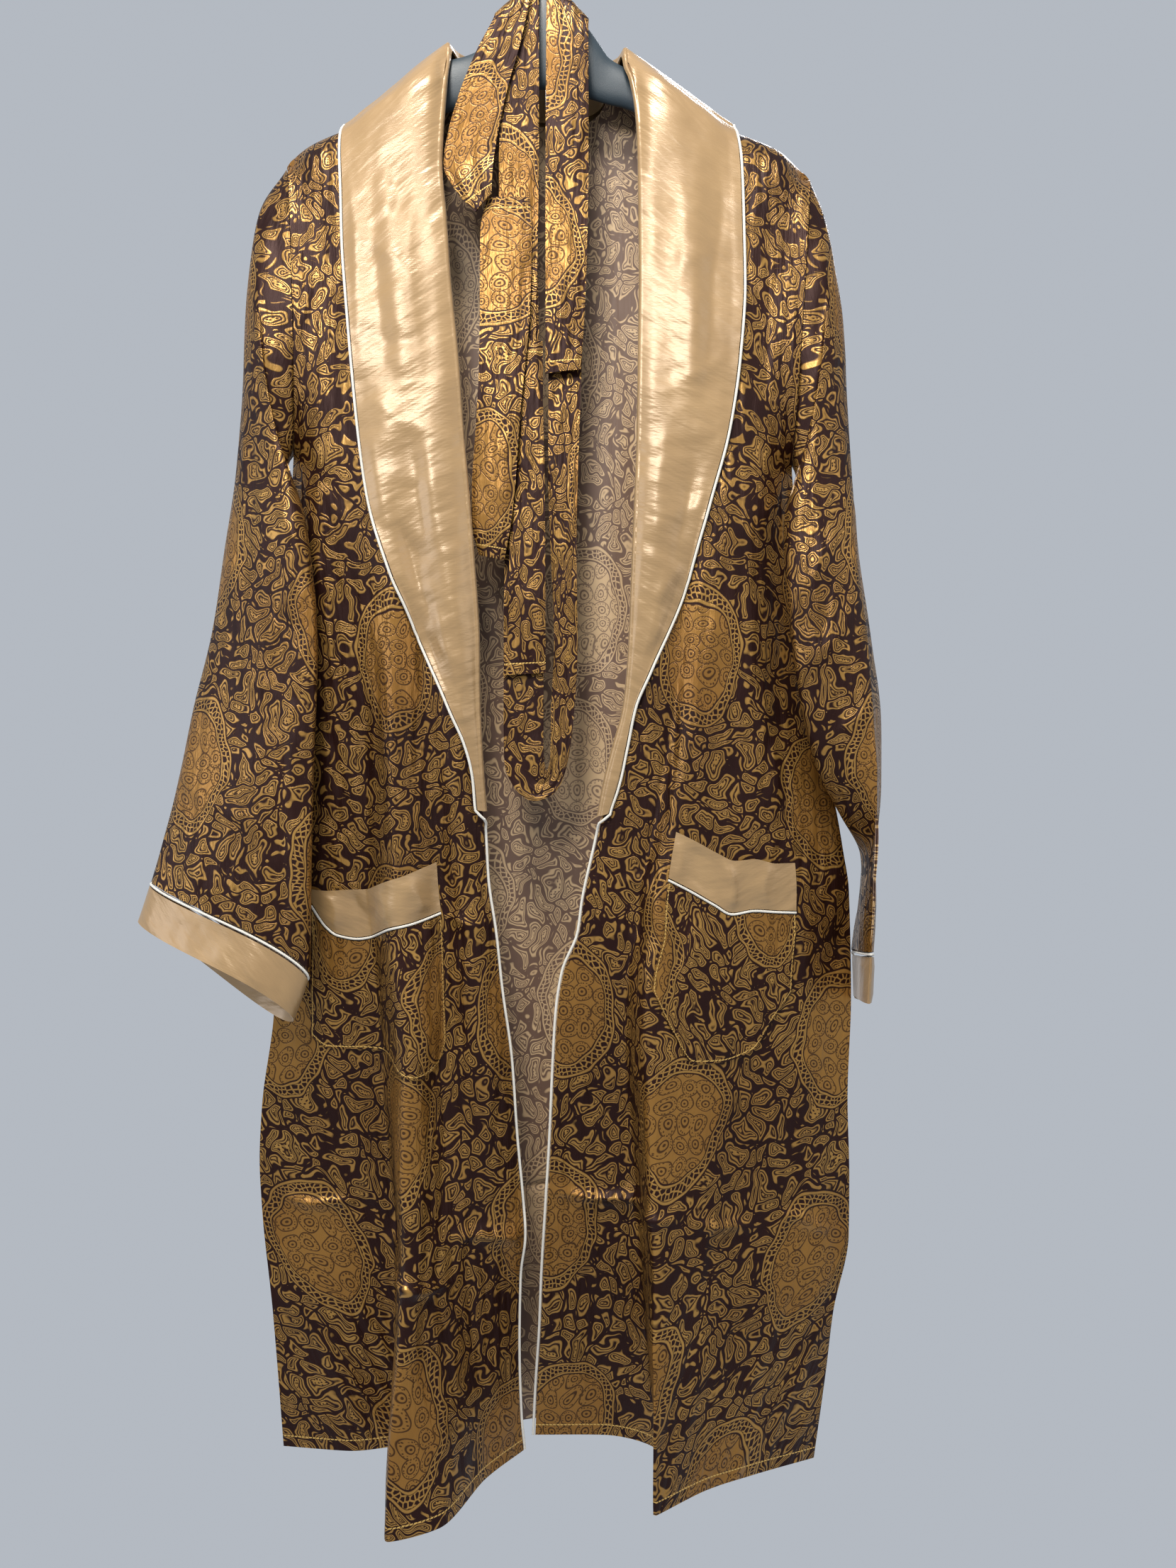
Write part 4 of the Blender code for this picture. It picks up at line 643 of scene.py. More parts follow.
# Satin jacquard, face: the gold weft floats shine, the brown warp ground stays darker and a little duller,
# and fine upright ripples from hanging break the shine. The ripples are drawn at their real 9 by 60 mm.
jacquard_face = blank("satin_jacquard_face")
tree = jacquard_face.node_tree
figure, field, mm = woven_figure(tree)
# A broad noise blends a shaded gold with a lit gold, and a darker brown with a lighter one: painted sheen and
# painted shade in random patches about 80 mm across, on top of the lamps' own shading
tone_and_painted_sheen = add(tree, "TexNoise", {"Vector": mm, "Scale": 0.012, "Detail": 3.0})
gold = add(tree, "Mix", {"Factor": tone_and_painted_sheen, "A": linear("#7A5224"), "B": linear("#C49850")}, out=2,
           data_type="RGBA")
gold = add(tree, "Mix", {"Factor": add(tree, "Math", {0: field, 1: 0.5}, operation="MULTIPLY"), "A": gold,
                         "B": linear("#865720")}, out=2, data_type="RGBA")
brown = add(tree, "Mix", {"Factor": tone_and_painted_sheen, "A": linear("#1C0A07"), "B": linear("#32150D")}, out=2,
            data_type="RGBA")
woven = add(tree, "Mix", {"Factor": figure, "A": brown, "B": gold}, out=2, data_type="RGBA")
# Topstitching 9 mm above the hem: stitches 2.4 mm long with gaps, in gold thread drawn 1.1 mm thick to show
sewn = add(tree, "SeparateXYZ", {0: add(tree, "UVMap", {}, uv_map="stitch")})
row_of = add(tree, "Math", {0: add(tree, "Math", {0: sewn.node.outputs[1], 1: 0.0092},
                                   operation="SUBTRACT")},
             operation="ABSOLUTE")
thread = add(tree, "Math", {0: row_of, 1: 0.00055}, operation="LESS_THAN")
beat = add(tree, "Math", {0: add(tree, "Math", {0: sewn, 1: 312.0}, operation="MULTIPLY")},
           operation="FRACT")
thread = add(tree, "Math", {0: thread, 1: add(tree, "Math", {0: beat, 1: 0.75}, operation="LESS_THAN")},
             operation="MULTIPLY")
woven = add(tree, "Mix", {"Factor": thread, "A": woven, "B": linear("#D9B063")}, out=2, data_type="RGBA")
gloss = add(tree, "MapRange", {"Value": figure, "To Min": 0.46, "To Max": 0.29})
hanging = add(tree, "VectorMath", {0: mm, 1: (1 / 9, 1 / 60, 0)}, operation="MULTIPLY")
hanging = add(tree, "TexNoise", {"Vector": hanging, "Scale": 1.0, "Detail": 4.0, "Roughness": 0.55})
soft = add(tree, "VectorMath", {0: mm, 1: (1 / 26, 1 / 85, 0)}, operation="MULTIPLY")
soft = add(tree, "TexNoise", {"Vector": soft, "Scale": 1.0, "Detail": 2.0})
hanging = add(tree, "Math", {0: soft, 1: 3.4, 2: hanging}, operation="MULTIPLY_ADD")
relief = add(tree, "Math", {0: figure, 1: 0.07, 2: hanging}, operation="MULTIPLY_ADD")
relief = add(tree, "Math", {0: thread, 1: 0.4, 2: relief}, operation="MULTIPLY_ADD")
surface = add(tree, "Bump", {"Height": relief, "Strength": 0.8, "Distance": 0.0022})
shader = add(tree, "BsdfPrincipled", {"Base Color": woven, "Metallic": 0.5, "Roughness": gloss, "IOR": 1.5,
                                      "Specular IOR Level": 0.35, "Anisotropic": 0.35, "Normal": surface})
add(tree, "OutputMaterial", {"Surface": shader})

# Satin jacquard, reverse: the same figure shows pale and dull, because the gold floats lie on the face
jacquard_reverse = blank("satin_jacquard_reverse")
tree = jacquard_reverse.node_tree
figure, field, mm = woven_figure(tree)
# A broad noise varies the pale figure's tone at random, in patches about 50 mm across
tone_and_painted_sheen = add(tree, "TexNoise", {"Vector": mm, "Scale": 0.02, "Detail": 3.0})
pale = add(tree, "Mix", {"Factor": tone_and_painted_sheen, "A": linear("#BA9A74"), "B": linear("#D2B48A")}, out=2,
           data_type="RGBA")
dull = add(tree, "Mix", {"Factor": figure, "A": linear("#6A5040"), "B": pale}, out=2, data_type="RGBA")
hanging = add(tree, "VectorMath", {0: mm, 1: (1 / 12, 1 / 70, 0)}, operation="MULTIPLY")
hanging = add(tree, "TexNoise", {"Vector": hanging, "Scale": 1.0, "Detail": 3.0})
surface = add(tree, "Bump", {"Height": hanging, "Strength": 0.6, "Distance": 0.0014})
duller = add(tree, "MapRange", {"Value": figure, "To Min": 0.55, "To Max": 0.48})
shader = add(tree, "BsdfPrincipled", {"Base Color": dull, "Roughness": duller, "IOR": 1.5,
                                      "Sheen Weight": 0.15,
                                      "Normal": surface})
add(tree, "OutputMaterial", {"Surface": shader})

front_walls = {}
for side, name in ((RIGHT, "right_front"), (LEFT, "left_front")):
    grid, flat = front_grid(side)
    out = face_out(grid, flip=side == LEFT, square=[np.s_[:, 0]])
    front_walls[side] = crease(grid, out, FRONT_CREASES[side])
    panel = cloth_wall(name + "_cloth", front_walls[side], out, CLOTH_LIFT, CLOTH_THICK,
                       [jacquard_face, jacquard_reverse], flat, from_edge=flat[..., 1])
    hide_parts(name)

grid, flat = back_grid()
out = face_out(grid, flip=True, square=[np.s_[:, 0], np.s_[:, -1]])
panel = cloth_wall("back_cloth", crease(grid, out, BACK_CREASES, behind=True), out, CLOTH_LIFT, CLOTH_THICK,
                   [jacquard_face, jacquard_reverse], flat, from_edge=flat[..., 1])
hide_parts("back")


# Each sleeve is one piece of the jacquard with a seam underneath, set into the armhole. It hangs flat, so
# its front and back lie close together between an outer fold and an inner one.

# Rings down the sleeve: outer fold x, y, drop, inner fold x, y, drop, front swell x, y, back swell x, y
SLEEVE_RINGS = {
    RIGHT: [(242, 0, 259, 219.5, -11, 490, 6, -27, 12, 21), (252, 0, 308, 208, -23, 512, 4, -26, 11, 15),
            (257, 0, 357, 199, -30, 540, 2, -24, 5, 12), (260.5, 0, 425, 192.5, -36, 579, 0, -22, 3, 11),
            (267, 0, 490, 187.5, -42, 621, 0, -21, 0, 10), (278, 0, 558, 186, -45, 663, 0, -20, 0, 11),
            (288, 0, 627, 187, -47, 710, 0, -20, 0, 12), (302, -5, 695, 188, -50, 762, 0, -20, 0, 13),
            (315, -10, 763, 189, -52, 820, 0, -21, 0, 14),
            (327.6, -15, 817, 189.5, -54, 878, 0, -22, 0, 15),
            (333, -20, 842, 190, -55, 916, 0, -22, 0, 16)],
    LEFT: [(240, 0, 265, 216.5, -11, 500, 6, -27, 12, 21), (248.5, -5, 310, 207, -23, 520, 4, -26, 11, 15),
           (256, -8, 361, 202, -30, 540, 2, -24, 6, 13), (259, -12, 430, 201.5, -36, 579, 0, -22, 5, 14),
           (262, -20, 495, 204, -42, 621, 0, -20, 8, 20), (265.5, -30, 564, 209, -44, 663, 0, -18, 14, 28),
           (270.5, -40, 632, 216.5, -42, 706, 0, -16, 24, 40),
           (272.5, -50, 698, 229, -36, 748, 0, -14, 34, 58),
           (275, -56, 757, 250, -27, 786, 0, -10, 30, 80), (273.5, -59, 812, 272, -6, 820, 0, 0, 20, 78),
           (272, -60, 838, 281, 30, 850, -3, 1, 14, 45), (271, -61, 862, 286, 62, 880, -5, 2, 8, 12),
           (268.5, -61, 897, 286.5, 84, 917, -6, 0, 8, 4)]}
CUFF_LIFT = {RIGHT: 9.0, LEFT: 2.0}
ROUND = 96
SLEEVE_ROWS = 150
CUFF_ROWS = 26
SLEEVE_CREASES = {
    RIGHT: [(-236, 262, -206, 470, 9, 1.8), (-229, 500, -196, 590, 8, 2.0),
            (-262, 560, -200, 650, 10, -2.2),
            (-280, 640, -204, 705, 9, 2.0), (-250, 430, -198, 520, 8, 1.6), (-206, 690, -193, 905, 9, 3.0),
            (-222, 770, -206, 905, 8, -2.0), (-312, 752, -230, 800, 7, 1.8),
            (-258, 300, -250, 540, 10, 1.5),
            (-300, 800, -262, 868, 9, 1.4), (-240, 585, -214, 640, 6, 1.4)],
    LEFT: [(240, 280, 212, 470, 9, 1.8), (252, 400, 210, 520, 9, -1.8), (264, 520, 214, 610, 9, 2.2),
           (268, 600, 214, 672, 7, 2.0), (271, 690, 226, 738, 6, 1.6), (246, 540, 222, 700, 8, -1.6),
           (259, 320, 262, 520, 9, 1.4), (272, 740, 248, 770, 6, 1.4)]}


def sleeve_ring(ring, side, lift=0.0):
    """Points round one ring, from the inner fold, where the seam is, and back to it."""
    ox, oy, od, ix, iy, idr, fx, fy, bx, by = ring
    angle = 2 * math.pi * np.arange(ROUND) / ROUND + math.pi
    share = (1 - np.cos(angle)) / 2
    swell = abs(np.sin(angle))
    in_front = np.sin(angle) > 0
    x = ox + (ix - ox) * share + np.where(in_front, fx, bx) * swell
    y = oy + (iy - oy) * share + np.where(in_front, fy, by) * swell
    drop = od + (idr - od) * share - lift * (np.sin(angle) - 0.5 * np.sin(2 * angle))
    return np.stack([side * x, y, -drop], axis=-1)


def armhole_ring(side):
    """The sleeve's first ring lies just outside the armhole's seam."""
    angle = 2 * math.pi * np.arange(ROUND) / ROUND + math.pi
    drop = ARMHOLE[side][1] + (ARMHOLE[side][3] - ARMHOLE[side][1]) * (1 - np.cos(angle)) / 2
    front_x, front = outer_edge(side, np.minimum(drop, ARMHOLE[side][3] - 0.001), 5)
    back = outer_edge(side, np.minimum(drop, ARMHOLE[side][3] - 0.001), 6)[1]
    return np.stack([side * (front_x + 0.9), np.where(np.sin(angle) > 0, -front, back), -drop], axis=-1)


def finer(rings, rows):
    """Rings between the given ones, evenly spaced down a tube of cloth."""
    rings = np.asarray(rings, float)
    reach = np.concatenate([[0], np.cumsum(np.linalg.norm(np.diff(rings, axis=0), axis=2).mean(axis=1))])
    at = np.linspace(0, reach[-1], rows)
    plain = rings.reshape(len(rings), -1)
    fine = np.stack([through(reach, plain[:, k], at) for k in range(plain.shape[1])], axis=1)
    return fine.reshape(rows, *rings.shape[1:])


def flat_sleeve(grid):
    """Places on the cut cloth of a sleeve. It hangs steeply, so the cloth's length runs straight down, and it
    is opened out round the outer fold, halfway along each row."""
    loop = np.concatenate([grid, grid[:, :1]], axis=1)
    level = np.cumsum(np.linalg.norm(np.diff(loop[..., :2], axis=1), axis=2), axis=1)
    level = np.hstack([np.zeros((len(grid), 1)), level])
    fold = ROUND // 2
    across = abs(loop[:, fold:fold + 1, 0]) - (level - level[:, fold:fold + 1])
    return np.stack([across, loop[..., 2] - loop[..., 2].min()], axis=-1)


def flat_tube(grid):
    """Places on the cut cloth of a tube, whose seam is at its first column."""
    loop = np.concatenate([grid, grid[:, :1]], axis=1)
    across = np.cumsum(np.linalg.norm(np.diff(loop, axis=1), axis=2), axis=1)
    across = np.hstack([np.zeros((len(grid), 1)), across])
    down = np.concatenate([[0], np.cumsum(np.linalg.norm(np.diff(grid, axis=0), axis=2).mean(axis=1))])
    return np.stack([across - across[:, -1:] / 2,
                     np.repeat((down[-1] - down)[:, None], across.shape[1], axis=1)],
                    axis=-1)


sleeve_ends = {}
for side, name in ((RIGHT, "right_sleeve"), (LEFT, "left_sleeve")):
    rings = SLEEVE_RINGS[side]
    lifts = [CUFF_LIFT[side] * max(0.0, (i - len(rings) + 4) / 3) for i in range(len(rings))]
    sleeve_ends[side] = sleeve_ring(rings[-1], side, CUFF_LIFT[side])
    grid = finer([armhole_ring(side)] + [sleeve_ring(r, side, l) for r, l in zip(rings, lifts)],
                 SLEEVE_ROWS)
    flat = flat_sleeve(grid)
    out = face_out(grid, closed=True, flip=side == LEFT, square=[np.s_[0, :]])
    creased = crease(grid, out, SLEEVE_CREASES[side], ripple=0)
    behind = [(x1, d1 + 24, x2, d2 + 31, w, h) for x1, d1, x2, d2, w, h in SLEEVE_CREASES[side][1::2]]
    creased = crease(creased, out, behind, behind=True, ripple=0.4)
    tube = cloth_wall(name + "_cloth", creased, out, -CLOTH_LIFT - CLOTH_THICK, CLOTH_THICK,
                      [jacquard_face, jacquard_reverse], flat, closed=True)
    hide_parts(name)


# The cuffs are doubled bands of plain gold satin, a polyester with long warp floats, seamed to the sleeves
# with a corded piping in the seam.

# The same rings as the sleeves', down each cuff
CUFF_RINGS = {
    RIGHT: [(334.6, -20.3, 846.1, 191.6, -55.2, 920.9, 0, -22.2, 0, 16.3),
            (339, -21, 861, 196.5, -56, 936, 0, -24, 0, 17),
            (343.5, -22, 875.5, 203, -57, 952.5, 0, -26, 0, 18)],
    LEFT: [(268.8, -61, 901.3, 287, 84.4, 923.6, -5, 0, 8, 4),
           (267.5, -61.5, 920, 288, 88, 941, -4, 0, 8, 5),
           (266.5, -62, 939, 289, 90, 961, -4, 0, 8, 6)]}
CUFF_CREASES = {RIGHT: [(-330, 866, -322, 900, 5, 1.4), (-300, 872, -296, 915, 6, -1.5),
                        (-262, 888, -256, 930, 6, 1.6),
                        (-236, 898, -226, 944, 5, 1.5), (-213, 905, -209, 950, 4, -1.3)],
                LEFT: [(271, 905, 270, 950, 3, 0.7)]}

# Gold satin: long floats give broad soft highlights. Faint pulls of about 5 by 45 mm and slubs of 0.5 by
# 12 mm, drawn twice as thick as the real ones to show, break them up.
gold_satin = blank("gold_warp_satin")
tree = gold_satin.node_tree
mm = add(tree, "VectorMath", {0: add(tree, "UVMap", {}, uv_map="cloth"), "Scale": 1000.0},
         operation="SCALE")
tone = add(tree, "TexNoise", {"Vector": mm, "Scale": 0.016, "Detail": 3.0})
satin = add(tree, "Mix", {"Factor": tone, "A": linear("#94754D"), "B": linear("#B39162")}, out=2,
            data_type="RGBA")
slanted = add(tree, "VectorRotate", {"Vector": mm, "Angle": 0.45}, rotation_type="Z_AXIS")
slanted = add(tree, "VectorMath", {0: slanted, 1: (1 / 70, 1 / 17, 0)}, operation="MULTIPLY")
pulls = add(tree, "TexNoise", {"Vector": slanted, "Scale": 1.0, "Detail": 3.0, "Roughness": 0.5})
soft = add(tree, "TexNoise", {"Vector": mm, "Scale": 1 / 75, "Detail": 3.0, "Roughness": 0.45})
slubs = add(tree, "VectorMath", {0: mm, 1: (1 / 12, 1.0, 0)}, operation="MULTIPLY")
slubs = add(tree, "TexNoise", {"Vector": slubs, "Scale": 1.0, "Detail": 2.0})
relief = add(tree, "Math", {0: soft, 1: 2.2, 2: pulls}, operation="MULTIPLY_ADD")
relief = add(tree, "Math", {0: slubs, 1: 0.05, 2: relief}, operation="MULTIPLY_ADD")
surface = add(tree, "Bump", {"Height": relief, "Strength": 0.8, "Distance": 0.0026})
gloss = add(tree, "MapRange", {"Value": slubs, "To Min": 0.27, "To Max": 0.38})
shader = add(tree, "BsdfPrincipled", {"Base Color": satin, "Metallic": 0.15, "Roughness": gloss, "IOR": 1.5,
                                      "Specular IOR Level": 0.9, "Anisotropic": 0.4, "Sheen Weight": 0.1,
                                      "Normal": surface})
add(tree, "OutputMaterial", {"Surface": shader})

# Piping: a twisted cotton cord about 3 mm thick in off-white bias binding, so it has a dull slanting rib
white_piping = blank("cotton_bias_piping")
tree = white_piping.node_tree
mm = add(tree, "VectorMath", {0: add(tree, "UVMap", {}, uv_map="cloth"), "Scale": 1000.0},
         operation="SCALE")
rib = add(tree, "TexWave", {"Vector": mm, "Scale": 0.55, "Distortion": 0.6}, bands_direction="DIAGONAL")
worn = add(tree, "TexNoise", {"Vector": mm, "Scale": 0.05, "Detail": 3.0})
white = add(tree, "Mix", {"Factor": worn, "A": linear("#D5CFC1"), "B": linear("#EBE7DD")}, out=2,
            data_type="RGBA")
surface = add(tree, "Bump", {"Height": rib, "Strength": 0.4, "Distance": 0.0003})
fibre = add(tree, "MapRange", {"Value": rib, "To Min": 0.72, "To Max": 0.85})
shader = add(tree, "BsdfPrincipled", {"Base Color": white, "Roughness": fibre, "IOR": 1.5,
                                      "Sheen Weight": 0.3,
                                      "Normal": surface})
add(tree, "OutputMaterial", {"Surface": shader})

SATIN_LIFT = 0.3
SATIN_THICK = 1.4

for side, name in ((RIGHT, "right_cuff"), (LEFT, "left_cuff")):
    rings = [sleeve_ring(ring, side, CUFF_LIFT[side]) for ring in CUFF_RINGS[side]]
    grid = finer(rings, CUFF_ROWS)
    out = face_out(grid, closed=True, flip=side == LEFT)
    creased = crease(grid, out, CUFF_CREASES[side], ripple=0.5)
    cuff = cloth_wall(name + "_satin", creased, out, -SATIN_LIFT - SATIN_THICK, SATIN_THICK, [gold_satin],
                      flat_tube(grid), closed=True)
    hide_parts(name)
    seam = np.array([sleeve_ends[side], rings[0]])
    beside = seam.mean(axis=0) + face_out(seam, closed=True, flip=side == RIGHT)[0] * 0.8
    cord = place_mesh(name + "_cord", round_cord(beside, 1.0, 10, closed=True), [white_piping])
    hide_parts(name + "_piping")


# The shawl collar is doubled gold satin, one half on each side, joined at the centre back. It turns over
# the neck and the front edges, and its outer edge is piped.

COLLAR_GAP = 1.5
COLLAR_ROWS = 170
COLLAR_LIP_COLUMNS = 14
# From the break of the lapel up to the shoulder: roll x, roll drop, outer edge x, outer edge drop
COLLAR_FRONT = {
    RIGHT: [(51.6, 783, 55.6, 782), (53.7, 757, 58.5, 755), (55.2, 727, 66, 724), (56.2, 697, 77.5, 695),
            (57, 640, 103.6, 637), (61, 578, 127.8, 578), (65.3, 519, 145, 519), (70, 459, 153.2, 461),
            (74.8, 400, 158.5, 405), (80.7, 341, 163.2, 352), (86, 279, 167, 306), (89.4, 236, 168.8, 262),
            (88.4, 205, 170.3, 227), (86, 165, 170.8, 205), (84.3, 140, 170.6, 197.6)],
    LEFT: [(49.4, 787, 55, 785), (51.8, 774, 59.3, 772), (55.5, 757, 64, 756), (62, 732, 69, 731),
           (71, 694, 77, 694), (74, 661, 89.5, 664), (77.3, 596, 117, 600), (80, 530, 139, 522),
           (82.6, 464, 155, 461), (83.8, 399, 163.5, 402), (84.4, 330, 167.6, 340), (84.3, 270, 167, 284),
           (82.5, 205, 165.4, 233), (77, 160, 162.5, 205), (72.5, 145, 161.5, 197.6)]}
# Over the shoulder to the centre back: stand x, y, drop, roll x, y, drop, outer edge x, y, drop
COLLAR_BACK = [(80, 0, 126, 83.6, 0, 118.5, 170, 0, 189.8), (77, 8, 128, 81, 8, 117.3, 167, 8, 194.5),
               (72, 15.5, 139, 77, 16.5, 116.5, 158, 12, 204), (58, 26, 157, 64, 28, 115.5, 134, 20, 214),
               (33, 29.5, 166, 36, 33.5, 115, 78, 34, 221), (0, 31, 170.5, 0, 35.5, 114.5, 0, 38, 223)]
COLLAR_ACROSS = (0.0, 0.12, 0.3, 0.5, 0.7, 0.86, 1.0)
LIP_TURNS = (155, 95, 35)
LIP_TURNS_AT_NECK = (80, 60, 35)
COLLAR_CREASES = {
    RIGHT: [(-158, 300, -98, 336, 6, 1.3), (-155, 380, -92, 402, 7, -1.4), (-150, 440, -84, 470, 6, 1.4),
            (-146, 500, -76, 512, 8, 1.5), (-138, 546, -72, 580, 6, -1.3), (-122, 590, -66, 612, 6, 1.4),
            (-164, 240, -150, 420, 6, 1.2), (-112, 210, -104, 430, 9, 1.5), (-102, 440, -88, 600, 8, 1.3),
            (-92, 630, -66, 668, 5, 1.2), (-76, 680, -62, 712, 4, 1.0), (-128, 226, -122, 300, 8, -1.2)],
    LEFT: [(158, 310, 104, 330, 7, 1.2), (156, 400, 100, 436, 6, 1.4), (150, 470, 96, 486, 7, -1.3),
           (138, 520, 90, 548, 6, 1.4), (122, 574, 86, 610, 6, 1.3), (104, 612, 84, 650, 5, 1.2),
           (118, 220, 112, 420, 9, 1.4), (150, 230, 142, 380, 7, -1.2), (100, 440, 96, 560, 8, 1.2)]}


def front_depth(side, x, drop):
    """How far a front's inside stands towards the viewer at one place on it."""
    steps = np.linspace(0, 1, 81)
    row_x, row_depth = front_places(side, steps, np.full(81, float(drop)))
    order = np.argsort(row_x)
    depth = np.interp(x, row_x[order], row_depth[order])
    return depth * rounding(drop - column(SHOULDER[side], 1, abs(x))[0]) + SEAM_GAP / 2


def collar_rows(side):
    """The collar's inner face, from the break to the centre back, and from its stand to its outer edge."""
    rows = []
    for roll_x, roll_d, out_x, out_d in COLLAR_FRONT[side]:
        depth = column(FRONT_EDGE[side], 2, roll_d)[0] + SEAM_GAP / 2
        points = []
        for angle in LIP_TURNS if roll_d > 162 else LIP_TURNS_AT_NECK:
            a = math.radians(angle)
            points.append((side * (roll_x - 0.6 - 1.89 * math.sin(a)), -depth - 0.8 - 2.7 * math.cos(a),
                           -roll_d))
        for share in COLLAR_ACROSS:
            x = roll_x + (out_x - roll_x) * share
            drop = roll_d + (out_d - roll_d) * share
            crown = 4.5 * math.sin(math.pi * share ** 0.6) * min(1.0, (out_x - roll_x) / 60)
            points.append((side * x, -front_depth(side, side * x, drop) - 3.5 - crown, -drop))
        rows.append(points)
    for sx, sy, sd, rx, ry, rd, ox, oy, od in COLLAR_BACK:
        if side == LEFT:
            # The neck reaches less far out on this side, and its shoulder point lies a little lower
            low = 5.0 * rx / COLLAR_BACK[0][3]
            sx, rx, ox, sd, rd = sx * 0.84, rx * 0.84, ox * 0.952, sd + low, rd + low
        points = [(side * (sx + (rx - sx) * t), sy + (ry - sy) * t, -(sd + (rd - sd) * t)) for t in (0.0,
                                                                                                     0.4,
                                                                                                     0.8)]
        for share in COLLAR_ACROSS:
            crown = 2.7 * math.sin(math.pi * share ** 0.6) * min(1.0, (ox - rx) / 60)
            points.append((side * (rx + (ox - rx) * share), ry + (oy - ry) * share + crown,
                           -(rd + (od - rd) * share)))
        rows.append(points)
    return np.array(rows)


def lay_on(grid, below, gap, first=0):
    """Lift points that lie closer than the gap to the outside of the pieces below them."""
    grid = grid.copy()
    rows = grid[:, None] if grid.ndim == 2 else grid
    for _ in range(2):
        push = np.zeros(rows.shape)
        for i in range(rows.shape[0]):
            for j in range(first, rows.shape[1]):
                place = Vector(rows[i, j] * MM)
                for name in below:
                    if (name == "back_cloth") != (place.y > 0):
                        continue
                    near, normal, _, distance = OUTSIDE[name].find_nearest(place, 0.015)
                    if near is None:
                        continue
                    height = (place - near).dot(normal) / MM
                    distance = distance / MM
                    away, short = normal, gap - height
                    if height > 0:
                        away, short = (place - near).normalized(), gap - distance
                    if short < 0.02 or (height < 0 and -height < 0.7 * distance):
                        continue
                    push[i, j] = np.array(away) * short
        rows += push
    return rows[:, 0] if grid.ndim == 2 else rows


def beside_edge(grid, out, thick):
    """Places for a piping cord beside a wall's last column, level with the middle of the wall."""
    edge = grid[:, -1]
    along = np.gradient(edge, axis=0)
    along /= np.linalg.norm(along, axis=1, keepdims=True)
    away = edge - grid[:, -2]
    away -= along * np.sum(away * along, axis=1, keepdims=True)
    away /= np.linalg.norm(away, axis=1, keepdims=True)
    return edge + out[:, -1] * thick / 2 + away * 1.85


for side, name in ((RIGHT, "right"), (LEFT, "left")):
    front = name + "_front_cloth"
    rows = collar_rows(side)
    down = finer(rows, COLLAR_ROWS)
    keys = np.arange(10)
    at = np.concatenate([np.linspace(0, 3, 15), np.linspace(3, 9, 40)[1:]])
    grid = np.stack([np.stack([through(keys, line[:, k], at) for k in range(3)], axis=1) for line in down])
    grid[-1, :, 0] = side * SEAM_GAP / 2
    out = face_out(grid, flip=side == LEFT, square=[np.s_[-1, :]])
    creased = crease(grid, out, COLLAR_CREASES[side], ripple=0.5)
    creased = lay_on(creased, [front, "back_cloth"], COLLAR_GAP, first=COLLAR_LIP_COLUMNS)
    creased[-1, :, 0] = side * SEAM_GAP / 2
    across = np.cumsum(np.linalg.norm(np.diff(grid, axis=1), axis=2), axis=1)
    across = np.hstack([np.zeros((len(grid), 1)), across])
    length = np.concatenate([[0], np.cumsum(np.linalg.norm(np.diff(grid[:, 30], axis=0), axis=1))])
    flat = np.stack([across, np.repeat(length[:, None], grid.shape[1], axis=1)], axis=-1)
    collar = cloth_wall(name + "_collar_satin", creased, out, SATIN_LIFT, SATIN_THICK, [gold_satin], flat)
    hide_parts(name + "_collar")

    # The piping runs round the collar's outer edge, crosses the break, and goes on down the front's edge
    wall = front_walls[side]
    edge_line = beside_edge(wall, face_out(wall, flip=side == LEFT), 1.6)
    round_collar = beside_edge(creased, out, 2.0)
    round_collar[-1, 0] = side * (SEAM_GAP / 2 + 0.3)
    round_collar = lay_on(round_collar, [front, "back_cloth"], 1.85)
    head = round_collar[0]
    level = -head[2]
    under = np.array([np.interp(level + 4, -edge_line[:, 2], edge_line[:, k]) for k in range(3)])
    lower = np.array([np.interp(level + 16, -edge_line[:, 2], edge_line[:, k]) for k in range(3)])
    turn = [np.array([(head[0] + under[0]) / 2, head[1], head[2] - 4]),
            np.array([under[0] - side * 0.2, head[1] + 0.3, head[2] - 7.5]),
            np.array([under[0] - side * 1.2, under[1] - 1.6, head[2] - 10.5]), lower]
    path = list(round_collar[::-1]) + turn + [place for place in edge_line if -place[2] > level + 22]
    cord = place_mesh(name + "_edge_cord", round_cord(path, 1.15, 12), [white_piping])
    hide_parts(name + "_front_piping")


# The patch pockets are single jacquard with a topstitched edge, and a doubled satin band with a piped lower
# seam at the mouth. They lie on the fronts and bulge a little from use.

# From the outer end: distance from the middle, drop of the mouth, drop of the piped seam
POCKET_BAND = {RIGHT: [(198, 850, 864), (186, 851, 882), (177, 850.5, 889), (160, 849.5, 892),
                       (147, 849, 890),
                       (124, 841, 880), (106, 833, 875), (88, 826, 869)],
               LEFT: [(213, 827, 869), (196, 827, 868), (176, 823, 866.5), (157.5, 824, 869),
                      (142, 818, 861),
                      (122, 808.5, 850), (101.5, 800, 840)]}
# Distance from the middle, drop of the pocket's lower edge
POCKET_FOOT = {RIGHT: [(198, 975), (184, 986), (157, 987), (137, 989), (112, 1001), (96, 994), (88, 975)],
               LEFT: [(213, 935), (200, 957), (186, 984), (160, 992), (138, 991), (120, 966), (101.5, 930)]}
POCKET_LEVEL = 870
POCKET_COLUMNS = 64
POCKET_BAND_ROWS = 24
PATCH_ROWS = 64
